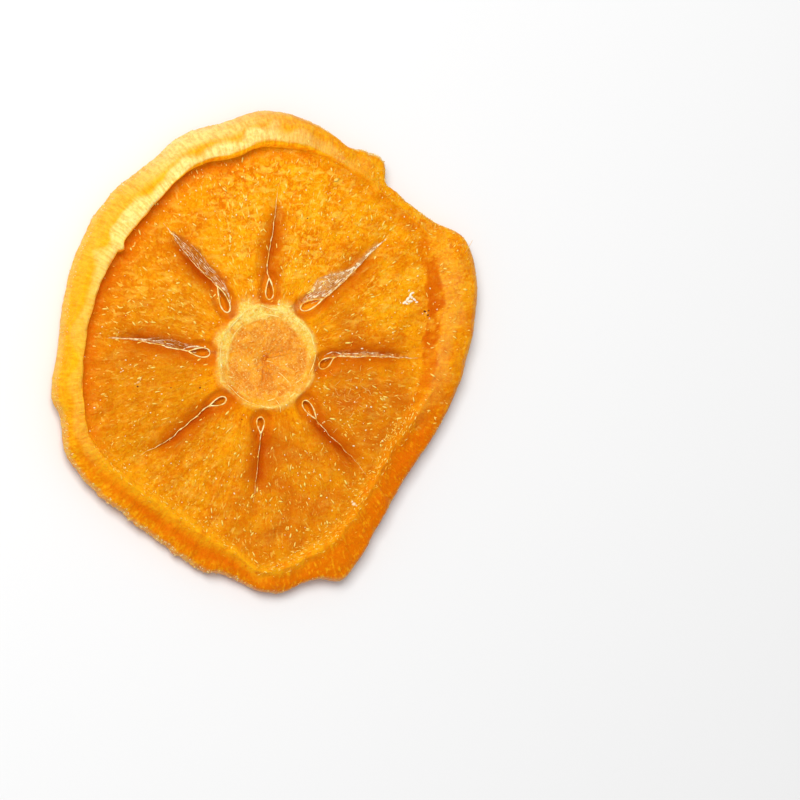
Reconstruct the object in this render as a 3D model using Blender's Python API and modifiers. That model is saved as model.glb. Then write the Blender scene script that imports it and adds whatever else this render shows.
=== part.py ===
"""A slice of dried persimmon, cut straight across the fruit and lying on its underside.

The slice is one piece of flesh. The outer wall of the fruit dries stiffer than the flesh, which has sunk
between the walls from both cut faces, so along one side the rim stands proud. Round the rest it has dried to
a low band and a flat skirt. In the middle is the round core in its raised ring. Round the core lie eight empty
seed pockets, each with a thin lip, and from each pocket a crease runs out towards the rim.
Metres, +Z up, with the origin under the middle of the slice's box.
"""

import math
from collections import namedtuple

import bmesh
import bpy
from mathutils import Vector, noise

NAME = "persimmon_slice"

# Heights of the cut faces at the turned section's own size, above what the slice lies on
TOP_FLESH = 0.0038
TOP_SINK = 0.0006
BASE_FLESH = 0.0009
CENTRE_RISE = 0.0003
WAVE_HEIGHT = 0.00016
WAVE_LENGTH = 0.0065
RIM_WAVE_HEIGHT = 0.0005
RIM_WAVE_LENGTH = 0.0090

# The rim lifts off what the slice lies on in three stretches, and rests on it between them
RIM_LIFT = 0.0009
LIFT_STRETCHES = 3
LIFT_TURN = math.radians(65)
LIFT_LEVEL = 0.40
LIFT_SWING = 0.60

# The core and the ring of paler flesh round it; inside ROUND_RADIUS the slice is truly round
CORE_RADIUS = 0.0056
CORE_DIMPLE = 0.0005
RING_RADIUS = 0.0065
RING_WIDTH = 0.0008
RING_HEIGHT = 0.00025
ROUND_RADIUS = 0.0078

# Where the turned section has its points: shares of the core's radius, ring widths out from the ring's middle,
# and the number of equal steps from there to the rim
CORE_STOPS = (0, 0.36, 0.74)
RING_STOPS = (-1.2, -0.5, 0.2, 1.1)
FLESH_STOP = 2.2
FLESH_STEPS = 10

# The rim of the turned section, before it takes the slice's own outline
RIM_INNER = 0.0250
RIM_OUTER = 0.0290

# Across the rim, from its inner foot over the crest and round the widest line to the underside:
# share of the rim's width, height
RIM_SECTION = (
    (0.00, 0.0034),
    (0.02, 0.0047),
    (0.09, 0.0058),
    (0.22, 0.0063),
    (0.38, 0.0062),
    (0.56, 0.0054),
    (0.74, 0.0042),
    (0.90, 0.0028),
    (1.00, 0.0015),
    (0.93, 0.0006),
    (0.76, 0.0001),
    (0.52, 0.0000),
    (0.27, 0.0004),
    (0.05, 0.0010),
)

TOP_RIM = max(height for _, height in RIM_SECTION)

# Heights that part the top from the underside: at the rim's widest line, and halfway up the flesh
WIDEST_HEIGHT = 0.00151
WAIST_HEIGHT = (TOP_FLESH + BASE_FLESH) / 2

# The outline seen from above, about the core: degrees from +X, radius
OUTLINE = (
    (0, 0.0286),
    (10, 0.0302),
    (20, 0.0320),
    (30, 0.0326),
    (37, 0.0303),
    (43, 0.0293),
    (50, 0.0288),
    (54, 0.0291),
    (57, 0.0312),
    (62, 0.0309),
    (67, 0.0304),
    (74, 0.0314),
    (85, 0.0323),
    (91, 0.0322),
    (100, 0.0311),
    (110, 0.0309),
    (120, 0.0295),
    (135, 0.0292),
    (150, 0.0283),
    (165, 0.0275),
    (178, 0.0274),
    (190, 0.0287),
    (196, 0.0282),
    (204, 0.0291),
    (214, 0.0286),
    (228, 0.0275),
    (240, 0.0274),
    (252, 0.0285),
    (262, 0.0287),
    (268, 0.0299),
    (275, 0.0309),
    (281, 0.0300),
    (286, 0.0300),
    (291, 0.0312),
    (297, 0.0297),
    (304, 0.0278),
    (312, 0.0263),
    (320, 0.0255),
    (328, 0.0254),
    (342, 0.0265),
    (351, 0.0275),
)

# The inner foot of the rim, where the sunken flesh begins: degrees, radius
RIM_FOOT = (
    (0, 0.0236),
    (8, 0.0247),
    (20, 0.0262),
    (28, 0.0269),
    (36, 0.0275),
    (45, 0.0272),
    (55, 0.0270),
    (70, 0.0275),
    (86, 0.0277),
    (92, 0.0274),
    (99, 0.0265),
    (108, 0.0266),
    (114, 0.0264),
    (120, 0.0258),
    (129, 0.0248),
    (146, 0.0245),
    (160, 0.0244),
    (174, 0.0246),
    (188, 0.0252),
    (200, 0.0258),
    (207, 0.0256),
    (220, 0.0241),
    (235, 0.0232),
    (252, 0.0238),
    (263, 0.0256),
    (269, 0.0275),
    (275, 0.0270),
    (286, 0.0258),
    (298, 0.0239),
    (307, 0.0225),
    (316, 0.0214),
    (326, 0.0209),
    (337, 0.0214),
    (350, 0.0227),
)

# How far the crest of the raised rim stands above the flesh, as a share of the full rim: degrees, share
RIM_RISE = (
    (0, 0.42),
    (25, 0.34),
    (45, 0.20),
    (60, 0.22),
    (80, 0.50),
    (97, 0.74),
    (115, 0.82),
    (145, 0.80),
    (175, 0.70),
    (195, 0.60),
    (210, 0.40),
    (240, 0.30),
    (335, 0.30),
)

# Across the rim where it has not risen but dried to a flat skirt: share of the rim's width, height
FLAT_RIM = (
    (0.00, 0.0033),
    (0.12, 0.0034),
    (0.32, 0.0032),
    (0.52, 0.0030),
    (0.70, 0.0028),
    (0.85, 0.0024),
    (0.94, 0.0020),
    (1.00, 0.0015),
)

# Across the rim where it has dried to a low, broad band: share of the rim's width, height
BROAD_RIM = (
    (0.00, 0.0033),
    (0.04, 0.0037),
    (0.10, 0.0042),
    (0.28, 0.0045),
    (0.58, 0.0044),
    (0.78, 0.0038),
    (0.91, 0.0029),
    (1.00, 0.0015),
)

# Where round the slice the rim is flat and where it is broad; elsewhere it is raised: degrees, share
FLAT = (
    (0, 0.15),
    (18, 0.00),
    (26, 0.20),
    (38, 1.00),
    (56, 1.00),
    (66, 0.60),
    (80, 0.20),
    (92, 0.00),
    (190, 0.00),
    (202, 0.50),
    (214, 1.00),
    (300, 1.00),
    (335, 1.00),
    (350, 0.60),
)
BROAD = (
    (0, 0.85),
    (18, 1.00),
    (26, 0.80),
    (38, 0.00),
    (60, 0.00),
    (330, 0.00),
    (340, 0.10),
    (350, 0.40),
)

# The low ridge along the foot of the flat rim and the groove outside it: degrees, height
RIDGE_RISE = (
    (0, 0.00010),
    (30, 0.00000),
    (60, 0.00015),
    (190, 0.00010),
    (212, 0.00030),
    (262, 0.00036),
    (285, 0.00030),
    (320, 0.00036),
    (345, 0.00024),
)
RIDGE_SHARE = 0.07
RIDGE_WIDTH = 0.06
GROOVE_SINK = (
    (0, 0.00000),
    (90, 0.00000),
    (195, 0.00000),
    (212, 0.00016),
    (236, 0.00036),
    (258, 0.00032),
    (272, 0.00010),
    (290, 0.00000),
    (335, 0.00006),
)
GROOVE_SHARE = 0.42
GROOVE_WIDTH = 0.15

# How far the rim's inner wall slopes inwards, and the part of the rim's width over which that slope ends
RIM_SLOPE = (
    (0, 0.0018),
    (22, 0.0017),
    (38, 0.0007),
    (60, 0.0003),
    (90, 0.0001),
    (200, 0.0001),
    (215, 0.0002),
    (320, 0.0004),
    (338, 0.0007),
    (350, 0.0013),
)
SLOPE_END = (0.10, 0.30)

# Each seed pocket, about the core: its inner end, its outer tip, its width, and the points of the crease
# that runs on from the tip
Pocket = namedtuple("Pocket", "inner tip width crease")
POCKETS = (
    Pocket(
        (0.0006, 0.0077), (0.0006, 0.0105), 0.00115,
        ((0.0003, 0.0118), (0.0012, 0.0171), (0.0019, 0.0227)),
    ),
    Pocket(
        (0.0049, 0.0065), (0.0080, 0.0077), 0.00120,
        ((0.0109, 0.0097), (0.0145, 0.0137), (0.0173, 0.0162)),
    ),
    Pocket(
        (0.0075, -0.0011), (0.0096, 0.0002), 0.00125,
        ((0.0120, 0.0003), (0.0160, 0.0003), (0.0215, 0.0001)),
    ),
    Pocket(
        (0.0053, -0.0055), (0.0071, -0.0079), 0.00120,
        ((0.0098, -0.0107), (0.0119, -0.0126), (0.0141, -0.0151)),
    ),
    Pocket(
        (-0.0006, -0.0076), (-0.0005, -0.0097), 0.00110,
        ((-0.0007, -0.0120), (-0.0010, -0.0153), (-0.0015, -0.0187)),
    ),
    Pocket(
        (-0.0053, -0.0052), (-0.0075, -0.0061), 0.00105,
        ((-0.0102, -0.0082), (-0.0129, -0.0104), (-0.0168, -0.0125)),
    ),
    Pocket(
        (-0.0075, 0.0007), (-0.0104, 0.0009), 0.00130,
        ((-0.0138, 0.0016), (-0.0178, 0.0024), (-0.0216, 0.0026)),
    ),
    Pocket(
        (-0.0050, 0.0060), (-0.0064, 0.0094), 0.00130,
        ((-0.0087, 0.0114), (-0.0109, 0.0140), (-0.0135, 0.0174)),
    ),
)
POCKET_DEPTH = 0.0009
POCKET_SIDES = 12
POCKET_SWELL = 1.25
POCKET_POINT = 1.1
LIP_WIDTH = 0.00030
LIP_HEIGHT = 0.00022
CREASE_RADIUS = 0.00036
CREASE_END_RADIUS = 0.00016
CREASE_START = 0.7
CREASE_CLEARANCE = 0.3
CREASE_LEG_STEPS = 2
TROUGH_DEPTH = 0.00028
TROUGH_WIDTH = 0.0011

# The pockets and creases of the underside lie a little nearer the core
BASE_SHRINK = 0.96

TURN_STEPS = 90
WELD = 0.000001
FLESH_COLOUR = (0.84, 0.34, 0.02, 1.0)
FLESH_ROUGHNESS = 0.42
SHARP_ANGLE = math.radians(40)


def clear_scene():
    for thing in list(bpy.data.objects):
        bpy.data.objects.remove(thing, do_unlink=True)


def new_collection(name):
    collection = bpy.data.collections.new(name)
    bpy.context.scene.collection.children.link(collection)
    return collection


def bump(distance, width):
    """A smooth rise of height 1 at distance 0 that has died away two widths out."""
    return math.exp(-((distance / width) ** 2))


def around(table, angle):
    """A smooth closed curve through the table's (degrees, value) rows, read at an angle in radians."""
    degrees = math.degrees(angle) % 360
    count = len(table)
    after = next((i for i, row in enumerate(table) if row[0] > degrees), count)
    rows = []
    for step in range(after - 2, after + 2):
        turns, row = divmod(step, count)
        rows.append((table[row][0] + 360 * turns, table[row][1]))
    (a0, v0), (a1, v1), (a2, v2), (a3, v3) = rows
    span = a2 - a1
    t = (degrees - a1) / span
    out_slope = (v2 - v0) / (a2 - a0) * span
    in_slope = (v3 - v1) / (a3 - a1) * span
    return (
        (2 * t**3 - 3 * t**2 + 1) * v1
        + (t**3 - 2 * t**2 + t) * out_slope
        + (3 * t**2 - 2 * t**3) * v2
        + (t**3 - t**2) * in_slope
    )


def top_profile(radius):
    """Height of the turned top face: a dimpled core, the ring round it, and flesh that sinks to the rim."""
    sink = max(0, (radius - RING_RADIUS) / (RIM_INNER - RING_RADIUS))
    return (
        TOP_FLESH
        - CORE_DIMPLE * bump(radius, CORE_RADIUS / 2)
        + RING_HEIGHT * bump(radius - RING_RADIUS, RING_WIDTH)
        - TOP_SINK * sink**2
    )


def base_profile(radius):
    """Height of the turned underside, which has sunk upwards in the same way as the top."""
    return (
        BASE_FLESH
        + CORE_DIMPLE / 2 * bump(radius, CORE_RADIUS / 2)
        - RING_HEIGHT / 2 * bump(radius - RING_RADIUS, RING_WIDTH)
    )


def slice_section():
    """Half of the turned section, from the middle of the top round the rim to the middle of the base."""
    near_core = [share * CORE_RADIUS for share in CORE_STOPS]
    at_ring = [RING_RADIUS + share * RING_WIDTH for share in RING_STOPS]
    flesh_start = RING_RADIUS + FLESH_STOP * RING_WIDTH
    flesh = [flesh_start + (RIM_INNER - flesh_start) * i / FLESH_STEPS for i in range(FLESH_STEPS)]
    top = [(radius, top_profile(radius)) for radius in near_core + at_ring + flesh]
    rim = [(RIM_INNER + share * (RIM_OUTER - RIM_INNER), height) for share, height in RIM_SECTION]
    base_radii = (near_core + at_ring + flesh[1::2])[::-1]
    return top + rim + [(radius, base_profile(radius)) for radius in base_radii]


def height_across(table, share):
    """Height at a share of the rim's width, along straight legs between the table's rows."""
    for (share0, height0), (share1, height1) in zip(table, table[1:]):
        if share <= share1:
            return height0 + (height1 - height0) * (share - share0) / (share1 - share0)
    return table[-1][1]


def flesh_end(angle, top):
    """Radius at which the flesh meets the rim: on the top the rim's wall may slope inwards to it."""
    return around(RIM_FOOT, angle) - (around(RIM_SLOPE, angle) if top else 0)


def placed_radius(radius, angle, height):
    """Where a point of the turned section lies, from the core, once the slice has its own outline."""
    top = height > (WIDEST_HEIGHT if radius > RIM_INNER else WAIST_HEIGHT)
    end = flesh_end(angle, top)
    if radius <= ROUND_RADIUS:
        return radius
    if radius <= RIM_INNER:
        return ROUND_RADIUS + (radius - ROUND_RADIUS) * (end - ROUND_RADIUS) / (RIM_INNER - ROUND_RADIUS)
    foot = around(RIM_FOOT, angle)
    share = (radius - RIM_INNER) / (RIM_OUTER - RIM_INNER)
    below_crest = max(0, min(1, (TOP_RIM - height) / (TOP_RIM - TOP_FLESH + TOP_SINK)))
    past = max(0, min(1, (share - SLOPE_END[0]) / (SLOPE_END[1] - SLOPE_END[0])))
    return foot + share * (around(OUTLINE, angle) - foot) - (foot - end) * below_crest * (1 - past)


def turned_radius(radius, angle, top):
    """The radius of the turned section that lies at a radius of the finished flesh."""
    if radius <= ROUND_RADIUS:
        return radius
    end = flesh_end(angle, top)
    return ROUND_RADIUS + (radius - ROUND_RADIUS) * (RIM_INNER - ROUND_RADIUS) / (end - ROUND_RADIUS)


def warp(x, y):
    """The slice has dried unevenly: its rim lifts in three stretches between the three it rests on."""
    reach = min(1, (x * x + y * y) / RIM_OUTER**2)
    turn = LIFT_STRETCHES * math.atan2(y, x) - LIFT_TURN
    lift = max(0, LIFT_LEVEL - LIFT_SWING * math.cos(turn))
    return RIM_LIFT * lift * reach + CENTRE_RISE * (1 - reach)


def crease_distance(x, y, pocket):
    """Distance to the line from a pocket's inner end along its crease."""
    route = (pocket.inner, pocket.tip, *pocket.crease)
    point = Vector((x, y))
    nearest = RIM_OUTER
    for start, end in zip(route, route[1:]):
        start = Vector(start)
        along = Vector(end) - start
        share = max(0, min(1, (point - start).dot(along) / along.length_squared))
        nearest = min(nearest, (point - start - share * along).length)
    return nearest


def relief(x, y):
    """Unevenness of the top: soft waves over the flesh, and a shallow trough along each crease."""
    wave = WAVE_HEIGHT * noise.noise(Vector((x, y, 0)) / WAVE_LENGTH)
    trough = max(bump(crease_distance(x, y, pocket), TROUGH_WIDTH) for pocket in POCKETS)
    return wave - TROUGH_DEPTH * trough


def top_height(x, y):
    """Height of the finished top flesh at a point inside the rim."""
    radius = turned_radius(math.hypot(x, y), math.atan2(y, x), top=True)
    return top_profile(radius) + relief(x, y) + warp(x, y)


def base_height(x, y):
    """Height of the finished underside at a point inside the rim."""
    radius = turned_radius(math.hypot(x, y), math.atan2(y, x), top=False)
    return base_profile(radius) + warp(x, y)


def rim_height(radius, angle, height, x, y):
    """Height of the rim's top, which is raised, flat or broad in turn round the slice."""
    share = (radius - RIM_INNER) / (RIM_OUTER - RIM_INNER)
    rim_base = TOP_FLESH - TOP_SINK
    wave = RIM_WAVE_HEIGHT * noise.noise(Vector((x, y, 0)) / RIM_WAVE_LENGTH)
    rise = around(RIM_RISE, angle) + wave / (TOP_RIM - rim_base)
    raised = min(height, rim_base) + max(0, height - rim_base) * rise
    flat = height_across(FLAT_RIM, share)
    flat += around(RIDGE_RISE, angle) * bump(share - RIDGE_SHARE, RIDGE_WIDTH)
    flat -= around(GROOVE_SINK, angle) * bump(share - GROOVE_SHARE, GROOVE_WIDTH)
    broad = height_across(BROAD_RIM, share)
    is_flat = max(0, min(1, around(FLAT, angle)))
    is_broad = max(0, min(1, around(BROAD, angle)))
    return raised * (1 - is_flat - is_broad) + flat * is_flat + broad * is_broad


def turned_body(collection):
    """The section turned about the core's axis."""
    mesh = bpy.data.meshes.new("section")
    points = [(radius, 0, height) for radius, height in slice_section()]
    mesh.from_pydata(points, [(i, i + 1) for i in range(len(points) - 1)], [])
    section = bpy.data.objects.new("section", mesh)
    collection.objects.link(section)
    screw = section.modifiers.new("turn", "SCREW")
    screw.axis = "Z"
    screw.angle = math.tau
    screw.steps = TURN_STEPS
    screw.render_steps = TURN_STEPS
    screw.use_merge_vertices = True
    screw.merge_threshold = WELD
    screw.use_smooth_shade = True
    graph = bpy.context.evaluated_depsgraph_get()
    turned = bpy.data.meshes.new_from_object(section.evaluated_get(graph))
    bpy.data.objects.remove(section)
    body = bpy.data.objects.new(NAME, turned)
    turned.name = NAME
    collection.objects.link(body)
    return body


def dry_out(body):
    """Gives the turned body the slice's outline, its uneven rim, its relief and its warp."""
    shape = bmesh.new()
    shape.from_mesh(body.data)
    bmesh.ops.remove_doubles(shape, verts=shape.verts, dist=WELD)
    for vert in shape.verts:
        radius = math.hypot(vert.co.x, vert.co.y)
        angle = math.atan2(vert.co.y, vert.co.x)
        height = vert.co.z
        placed = placed_radius(radius, angle, height)
        x = placed * math.cos(angle)
        y = placed * math.sin(angle)
        if height > WIDEST_HEIGHT and radius > RIM_INNER:
            height = rim_height(radius, angle, height, x, y)
        elif height > WAIST_HEIGHT:
            height += relief(x, y)
        vert.co = (x, y, height + warp(x, y))
    shape.to_mesh(body.data)
    shape.free()


def teardrop(pocket, grown):
    """Outline of a seed pocket, round at its inner end and pointed at its tip, grown outwards all round."""
    along = (Vector(pocket.tip) - Vector(pocket.inner)).normalized()
    start = Vector(pocket.inner) - along * grown
    end = Vector(pocket.tip) + along * 2 * grown
    across = Vector((-along.y, along.x)) * (pocket.width / 2 + grown)
    points = []
    for i in range(POCKET_SIDES):
        turn = math.tau * i / POCKET_SIDES
        swell = POCKET_SWELL * math.sin(turn) * abs(math.sin(turn / 2)) ** POCKET_POINT
        points.append(end.lerp(start, (1 - math.cos(turn)) / 2) + across * swell)
    return points


def curve_object(name, collection, points, closed):
    """A polyline curve through points that are (x, y, z, radius)."""
    curve = bpy.data.curves.new(name, "CURVE")
    curve.dimensions = "3D"
    spline = curve.splines.new("POLY")
    spline.points.add(len(points) - 1)
    for point, (x, y, z, radius) in zip(spline.points, points):
        point.co = (x, y, z, 1)
        point.radius = radius
    spline.use_cyclic_u = closed
    obj = bpy.data.objects.new(name, curve)
    collection.objects.link(obj)
    return obj


def as_mesh(obj, collection, parent):
    """Turns a curve into a mesh of the same name, with its caps welded on."""
    graph = bpy.context.evaluated_depsgraph_get()
    mesh = bpy.data.meshes.new_from_object(obj.evaluated_get(graph))
    name = obj.name
    matrix = obj.matrix_world.copy()
    bpy.data.objects.remove(obj)
    shape = bmesh.new()
    shape.from_mesh(mesh)
    bmesh.ops.remove_doubles(shape, verts=shape.verts, dist=WELD)
    bmesh.ops.recalc_face_normals(shape, faces=shape.faces)
    shape.to_mesh(mesh)
    shape.free()
    solid = bpy.data.objects.new(name, mesh)
    collection.objects.link(solid)
    solid.parent = parent
    solid.matrix_world = parent.matrix_world @ matrix
    return solid


def pocket_prism(name, pocket, grown, low, high, collection, parent):
    """A seed pocket's outline, grown outwards, as an upright prism between two heights."""
    points = [(point.x, point.y, 0, 1) for point in teardrop(pocket, grown)]
    prism = curve_object(name, collection, points, closed=True)
    prism.data.dimensions = "2D"
    prism.data.fill_mode = "BOTH"
    prism.data.extrude = (high - low) / 2
    prism.location.z = (high + low) / 2
    bpy.context.view_layer.update()
    return as_mesh(prism, collection, parent)


def flesh_level(pocket, height_at):
    """Height of the flesh at the middle of a pocket's mouth."""
    middle = (Vector(pocket.inner) + Vector(pocket.tip)) / 2
    return height_at(middle.x, middle.y)


def crease_cutter(name, pocket, height_at, outward, collection, parent):
    """The crease that runs on from a pocket, as a tapering tube with its axis just outside the flesh."""
    start = Vector(pocket.inner).lerp(Vector(pocket.tip), CREASE_START)
    route = [start, *(Vector(point) for point in pocket.crease)]
    points = []
    count = CREASE_LEG_STEPS * (len(route) - 1)
    for i in range(count + 1):
        leg = min(i // CREASE_LEG_STEPS, len(route) - 2)
        spot = route[leg].lerp(route[leg + 1], i / CREASE_LEG_STEPS - leg)
        radius = CREASE_RADIUS + (CREASE_END_RADIUS - CREASE_RADIUS) * i / count
        level = height_at(spot.x, spot.y) + outward * CREASE_CLEARANCE * radius
        points.append((spot.x, spot.y, level, radius / CREASE_RADIUS))
    groove = curve_object(name, collection, points, closed=False)
    groove.data.bevel_depth = CREASE_RADIUS
    groove.data.bevel_resolution = 1
    groove.data.use_fill_caps = True
    return as_mesh(groove, collection, parent)


def drawn_in(pocket):
    """The same pocket and crease as they lie on the underside."""
    inner = BASE_SHRINK * Vector(pocket.inner)
    tip = BASE_SHRINK * Vector(pocket.tip)
    crease = [BASE_SHRINK * Vector(point) for point in pocket.crease]
    return Pocket(inner, tip, pocket.width, crease)


def cut_seed(number, face, pocket, height_at, outward, collection, parent):
    """The cutters of one seed pocket and its crease on one face."""
    level = flesh_level(pocket, height_at)
    low = level - POCKET_DEPTH
    high = level + POCKET_DEPTH
    pocket_prism(f"pocket_{face}_{number}", pocket, 0, low, high, collection, parent)
    crease_cutter(f"crease_{face}_{number}", pocket, height_at, outward, collection, parent)


def boolean(body, operation, collection):
    modifier = body.modifiers.new(operation.lower(), "BOOLEAN")
    modifier.operation = operation
    modifier.operand_type = "COLLECTION"
    modifier.collection = collection
    modifier.solver = "EXACT"


def join_lips(body, lips):
    """Unites the lips with the body and removes them."""
    boolean(body, "UNION", lips)
    graph = bpy.context.evaluated_depsgraph_get()
    joined = bpy.data.meshes.new_from_object(body.evaluated_get(graph))
    body.modifiers.clear()
    body.data = joined
    joined.name = NAME
    for lip in list(lips.objects):
        bpy.data.objects.remove(lip)
    bpy.data.collections.remove(lips)


def flesh_material():
    material = bpy.data.materials.new("dried_flesh")
    material.use_nodes = True
    shader = material.node_tree.nodes["Principled BSDF"]
    shader.inputs["Base Color"].default_value = FLESH_COLOUR
    shader.inputs["Roughness"].default_value = FLESH_ROUGHNESS
    shader.inputs["Metallic"].default_value = 0
    return material


def box_centre(mesh):
    xs = [vert.co.x for vert in mesh.vertices]
    ys = [vert.co.y for vert in mesh.vertices]
    return Vector(((min(xs) + max(xs)) / 2, (min(ys) + max(ys)) / 2, 0))


def main():
    clear_scene()
    parts = new_collection("dried_persimmon_slice")
    lips = new_collection("lips")
    cutters = new_collection("cutters")

    body = turned_body(parts)
    dry_out(body)

    core_axis = bpy.data.objects.new("core_axis", None)
    parts.objects.link(core_axis)
    core_axis.location = -box_centre(body.data)
    body.parent = core_axis
    bpy.context.view_layer.update()

    for number, pocket in enumerate(POCKETS):
        level = flesh_level(pocket, top_height)
        low = level - POCKET_DEPTH / 2
        pocket_prism(f"lip_{number}", pocket, LIP_WIDTH, low, level + LIP_HEIGHT, lips, core_axis)
    join_lips(body, lips)

    for number, pocket in enumerate(POCKETS):
        cut_seed(number, "top", pocket, top_height, 1, cutters, core_axis)
        cut_seed(number, "base", drawn_in(pocket), base_height, -1, cutters, core_axis)
    for cutter in cutters.objects:
        cutter.hide_render = True
        cutter.display_type = "WIRE"
    boolean(body, "DIFFERENCE", cutters)

    body.data.materials.clear()
    body.data.materials.append(flesh_material())
    body.data.shade_smooth()
    body.data.set_sharp_from_angle(angle=SHARP_ANGLE)


main()
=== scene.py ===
import math
from collections import namedtuple

import bmesh
import bpy
import numpy as np
from mathutils import Matrix, Vector, noise
from mathutils.bvhtree import BVHTree


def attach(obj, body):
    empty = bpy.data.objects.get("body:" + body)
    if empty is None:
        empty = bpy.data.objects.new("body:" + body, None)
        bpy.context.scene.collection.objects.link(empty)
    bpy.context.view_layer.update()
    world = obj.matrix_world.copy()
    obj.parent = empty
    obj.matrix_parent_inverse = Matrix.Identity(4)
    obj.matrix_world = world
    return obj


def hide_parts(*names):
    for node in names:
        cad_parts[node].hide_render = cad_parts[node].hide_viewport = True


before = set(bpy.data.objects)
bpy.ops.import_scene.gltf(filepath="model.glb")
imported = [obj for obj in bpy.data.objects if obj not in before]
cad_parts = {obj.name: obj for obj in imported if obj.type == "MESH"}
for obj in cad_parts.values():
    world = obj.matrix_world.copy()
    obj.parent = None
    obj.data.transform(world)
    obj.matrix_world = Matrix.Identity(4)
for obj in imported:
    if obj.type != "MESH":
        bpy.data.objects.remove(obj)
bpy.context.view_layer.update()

# The slice itself: one piece of flesh, cut straight across a persimmon and dried. The wall of the fruit has
# stiffened into a raised rim. The flesh inside it has sunk round the core, its ring and eight empty seed
# pockets, and a crease runs out from each pocket. All angles and places are about the core.
TOP_FLESH = 0.0038
TOP_SINK = 0.0006
BASE_FLESH = 0.0009
CENTRE_RISE = 0.0003
RIM_LIFT = 0.0009
LIFT_MIDDLE = 0.40
LIFT_SWING = 0.60
LIFT_TURN = 65
WAVE_HEIGHT = 0.00016
WAVE_LENGTH = 0.0065
RIM_WAVE_HEIGHT = 0.0005
RIM_WAVE_LENGTH = 0.0090
CORE_RADIUS = 0.0056
CORE_DIMPLE = 0.0005
RING_RADIUS = 0.0065
RING_WIDTH = 0.0008
RING_HEIGHT = 0.00025
ROUND_RADIUS = 0.0078
RIM_INNER = 0.0250
RIM_OUTER = 0.0290
WIDEST_HEIGHT = 0.0015
WAIST_HEIGHT = 0.0023

# Across the rim, from its inner foot over the crest and round the widest line to the underside:
# share of the rim's width, height
RIM_SECTION = (
    (0.00, 0.0034), (0.01, 0.0050), (0.04, 0.0060), (0.12, 0.0063), (0.32, 0.0062),
    (0.56, 0.0054), (0.74, 0.0043), (0.90, 0.0030), (1.00, 0.0015), (0.93, 0.0006),
    (0.76, 0.0001), (0.52, 0.0000), (0.27, 0.0004), (0.05, 0.0010),
)
RIM_TOP_LEGS = 8
RIM_TOP_STEPS = 4
RIM_BASE_STEPS = 2
TOP_RIM = max(height for _, height in RIM_SECTION)

# Round the slice, as (degrees from +X, value): the outline, the inner foot of the rim, and how far the
# crest stands above the flesh as a share of the full rim
OUTLINE = (
    (0, 0.0286), (10, 0.0302), (20, 0.0320), (30, 0.0326), (37, 0.0303), (43, 0.0293), (50, 0.0288),
    (54, 0.0291), (57, 0.0312), (62, 0.0309), (67, 0.0304), (74, 0.0314), (85, 0.0323), (91, 0.0322),
    (100, 0.0311), (110, 0.0309), (120, 0.0295), (135, 0.0292), (150, 0.0283), (165, 0.0275),
    (178, 0.0274), (190, 0.0287), (196, 0.0282), (204, 0.0291), (214, 0.0286), (228, 0.0275),
    (240, 0.0274), (252, 0.0285), (262, 0.0287), (268, 0.0299), (275, 0.0309), (281, 0.0300),
    (286, 0.0300), (291, 0.0312), (297, 0.0297), (304, 0.0278), (312, 0.0263), (320, 0.0255),
    (328, 0.0254), (342, 0.0265), (351, 0.0275),
)
RIM_FOOT = (
    (0, 0.0236), (8, 0.0247), (20, 0.0262), (28, 0.0269), (36, 0.0275), (45, 0.0272), (55, 0.0270),
    (70, 0.0275), (86, 0.0277), (92, 0.0274), (99, 0.0265), (108, 0.0266), (114, 0.0264), (120, 0.0258),
    (129, 0.0248), (146, 0.0245), (160, 0.0244), (174, 0.0246), (188, 0.0252), (200, 0.0258),
    (207, 0.0256), (220, 0.0241), (235, 0.0232), (252, 0.0238), (263, 0.0256), (269, 0.0275),
    (275, 0.0270), (286, 0.0258), (298, 0.0239), (307, 0.0225), (316, 0.0214), (326, 0.0209),
    (337, 0.0214), (350, 0.0227),
)
RIM_RISE = (
    (0, 0.42), (25, 0.34), (45, 0.20), (60, 0.22), (80, 0.50), (97, 0.74), (115, 0.82), (145, 0.80),
    (175, 0.70), (195, 0.60), (210, 0.40), (240, 0.30), (270, 0.30), (335, 0.30),
)

# Height across the rim where it has not risen but dried to a flat skirt, and where it has dried to a broad
# band: share of the rim's width, height
FLAT_RIM = (
    (0.00, 0.0033), (0.12, 0.0034), (0.32, 0.0032), (0.52, 0.0031), (0.72, 0.0030), (0.88, 0.0028),
    (0.95, 0.0025), (1.00, 0.0015),
)
BROAD_RIM = (
    (0.00, 0.0033), (0.04, 0.0036), (0.10, 0.0040), (0.28, 0.0043), (0.58, 0.0043), (0.80, 0.0041),
    (0.93, 0.0035), (1.00, 0.0015),
)

# Where the rim is flat and where it is broad, the ridge along the flat rim's foot, its light and the groove
# outside it, how far the inner wall slopes inwards, the ragged stretches of the edge, and where the rim
# looks like flesh
FLAT = (
    (0, 0.15), (18, 0), (26, 0.2), (38, 1), (56, 1), (66, 0.6), (80, 0.2), (92, 0), (190, 0), (202, 0.5),
    (214, 1), (300, 1), (335, 1), (350, 0.6),
)
BROAD = ((0, 0.85), (18, 1), (26, 0.8), (38, 0), (60, 0), (330, 0), (340, 0.1), (350, 0.4))
RIDGE_RISE = (
    (0, 0.0001), (30, 0.0), (60, 0.00015), (190, 0.0001), (212, 0.00020), (262, 0.00022), (285, 0.00020),
    (320, 0.00016), (345, 0.00012),
)
RIDGE_LIGHT = (
    (0, 0.3), (60, 0.5), (200, 0.9), (212, 1.0), (262, 1.0), (285, 0.8), (305, 0.45), (345, 0.35),
)
GROOVE_SINK = (
    (0, 0.0), (90, 0.0), (195, 0.0), (212, 0.00010), (236, 0.00022), (258, 0.00020), (272, 0.00006),
    (290, 0.0), (335, 0.00004),
)
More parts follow.
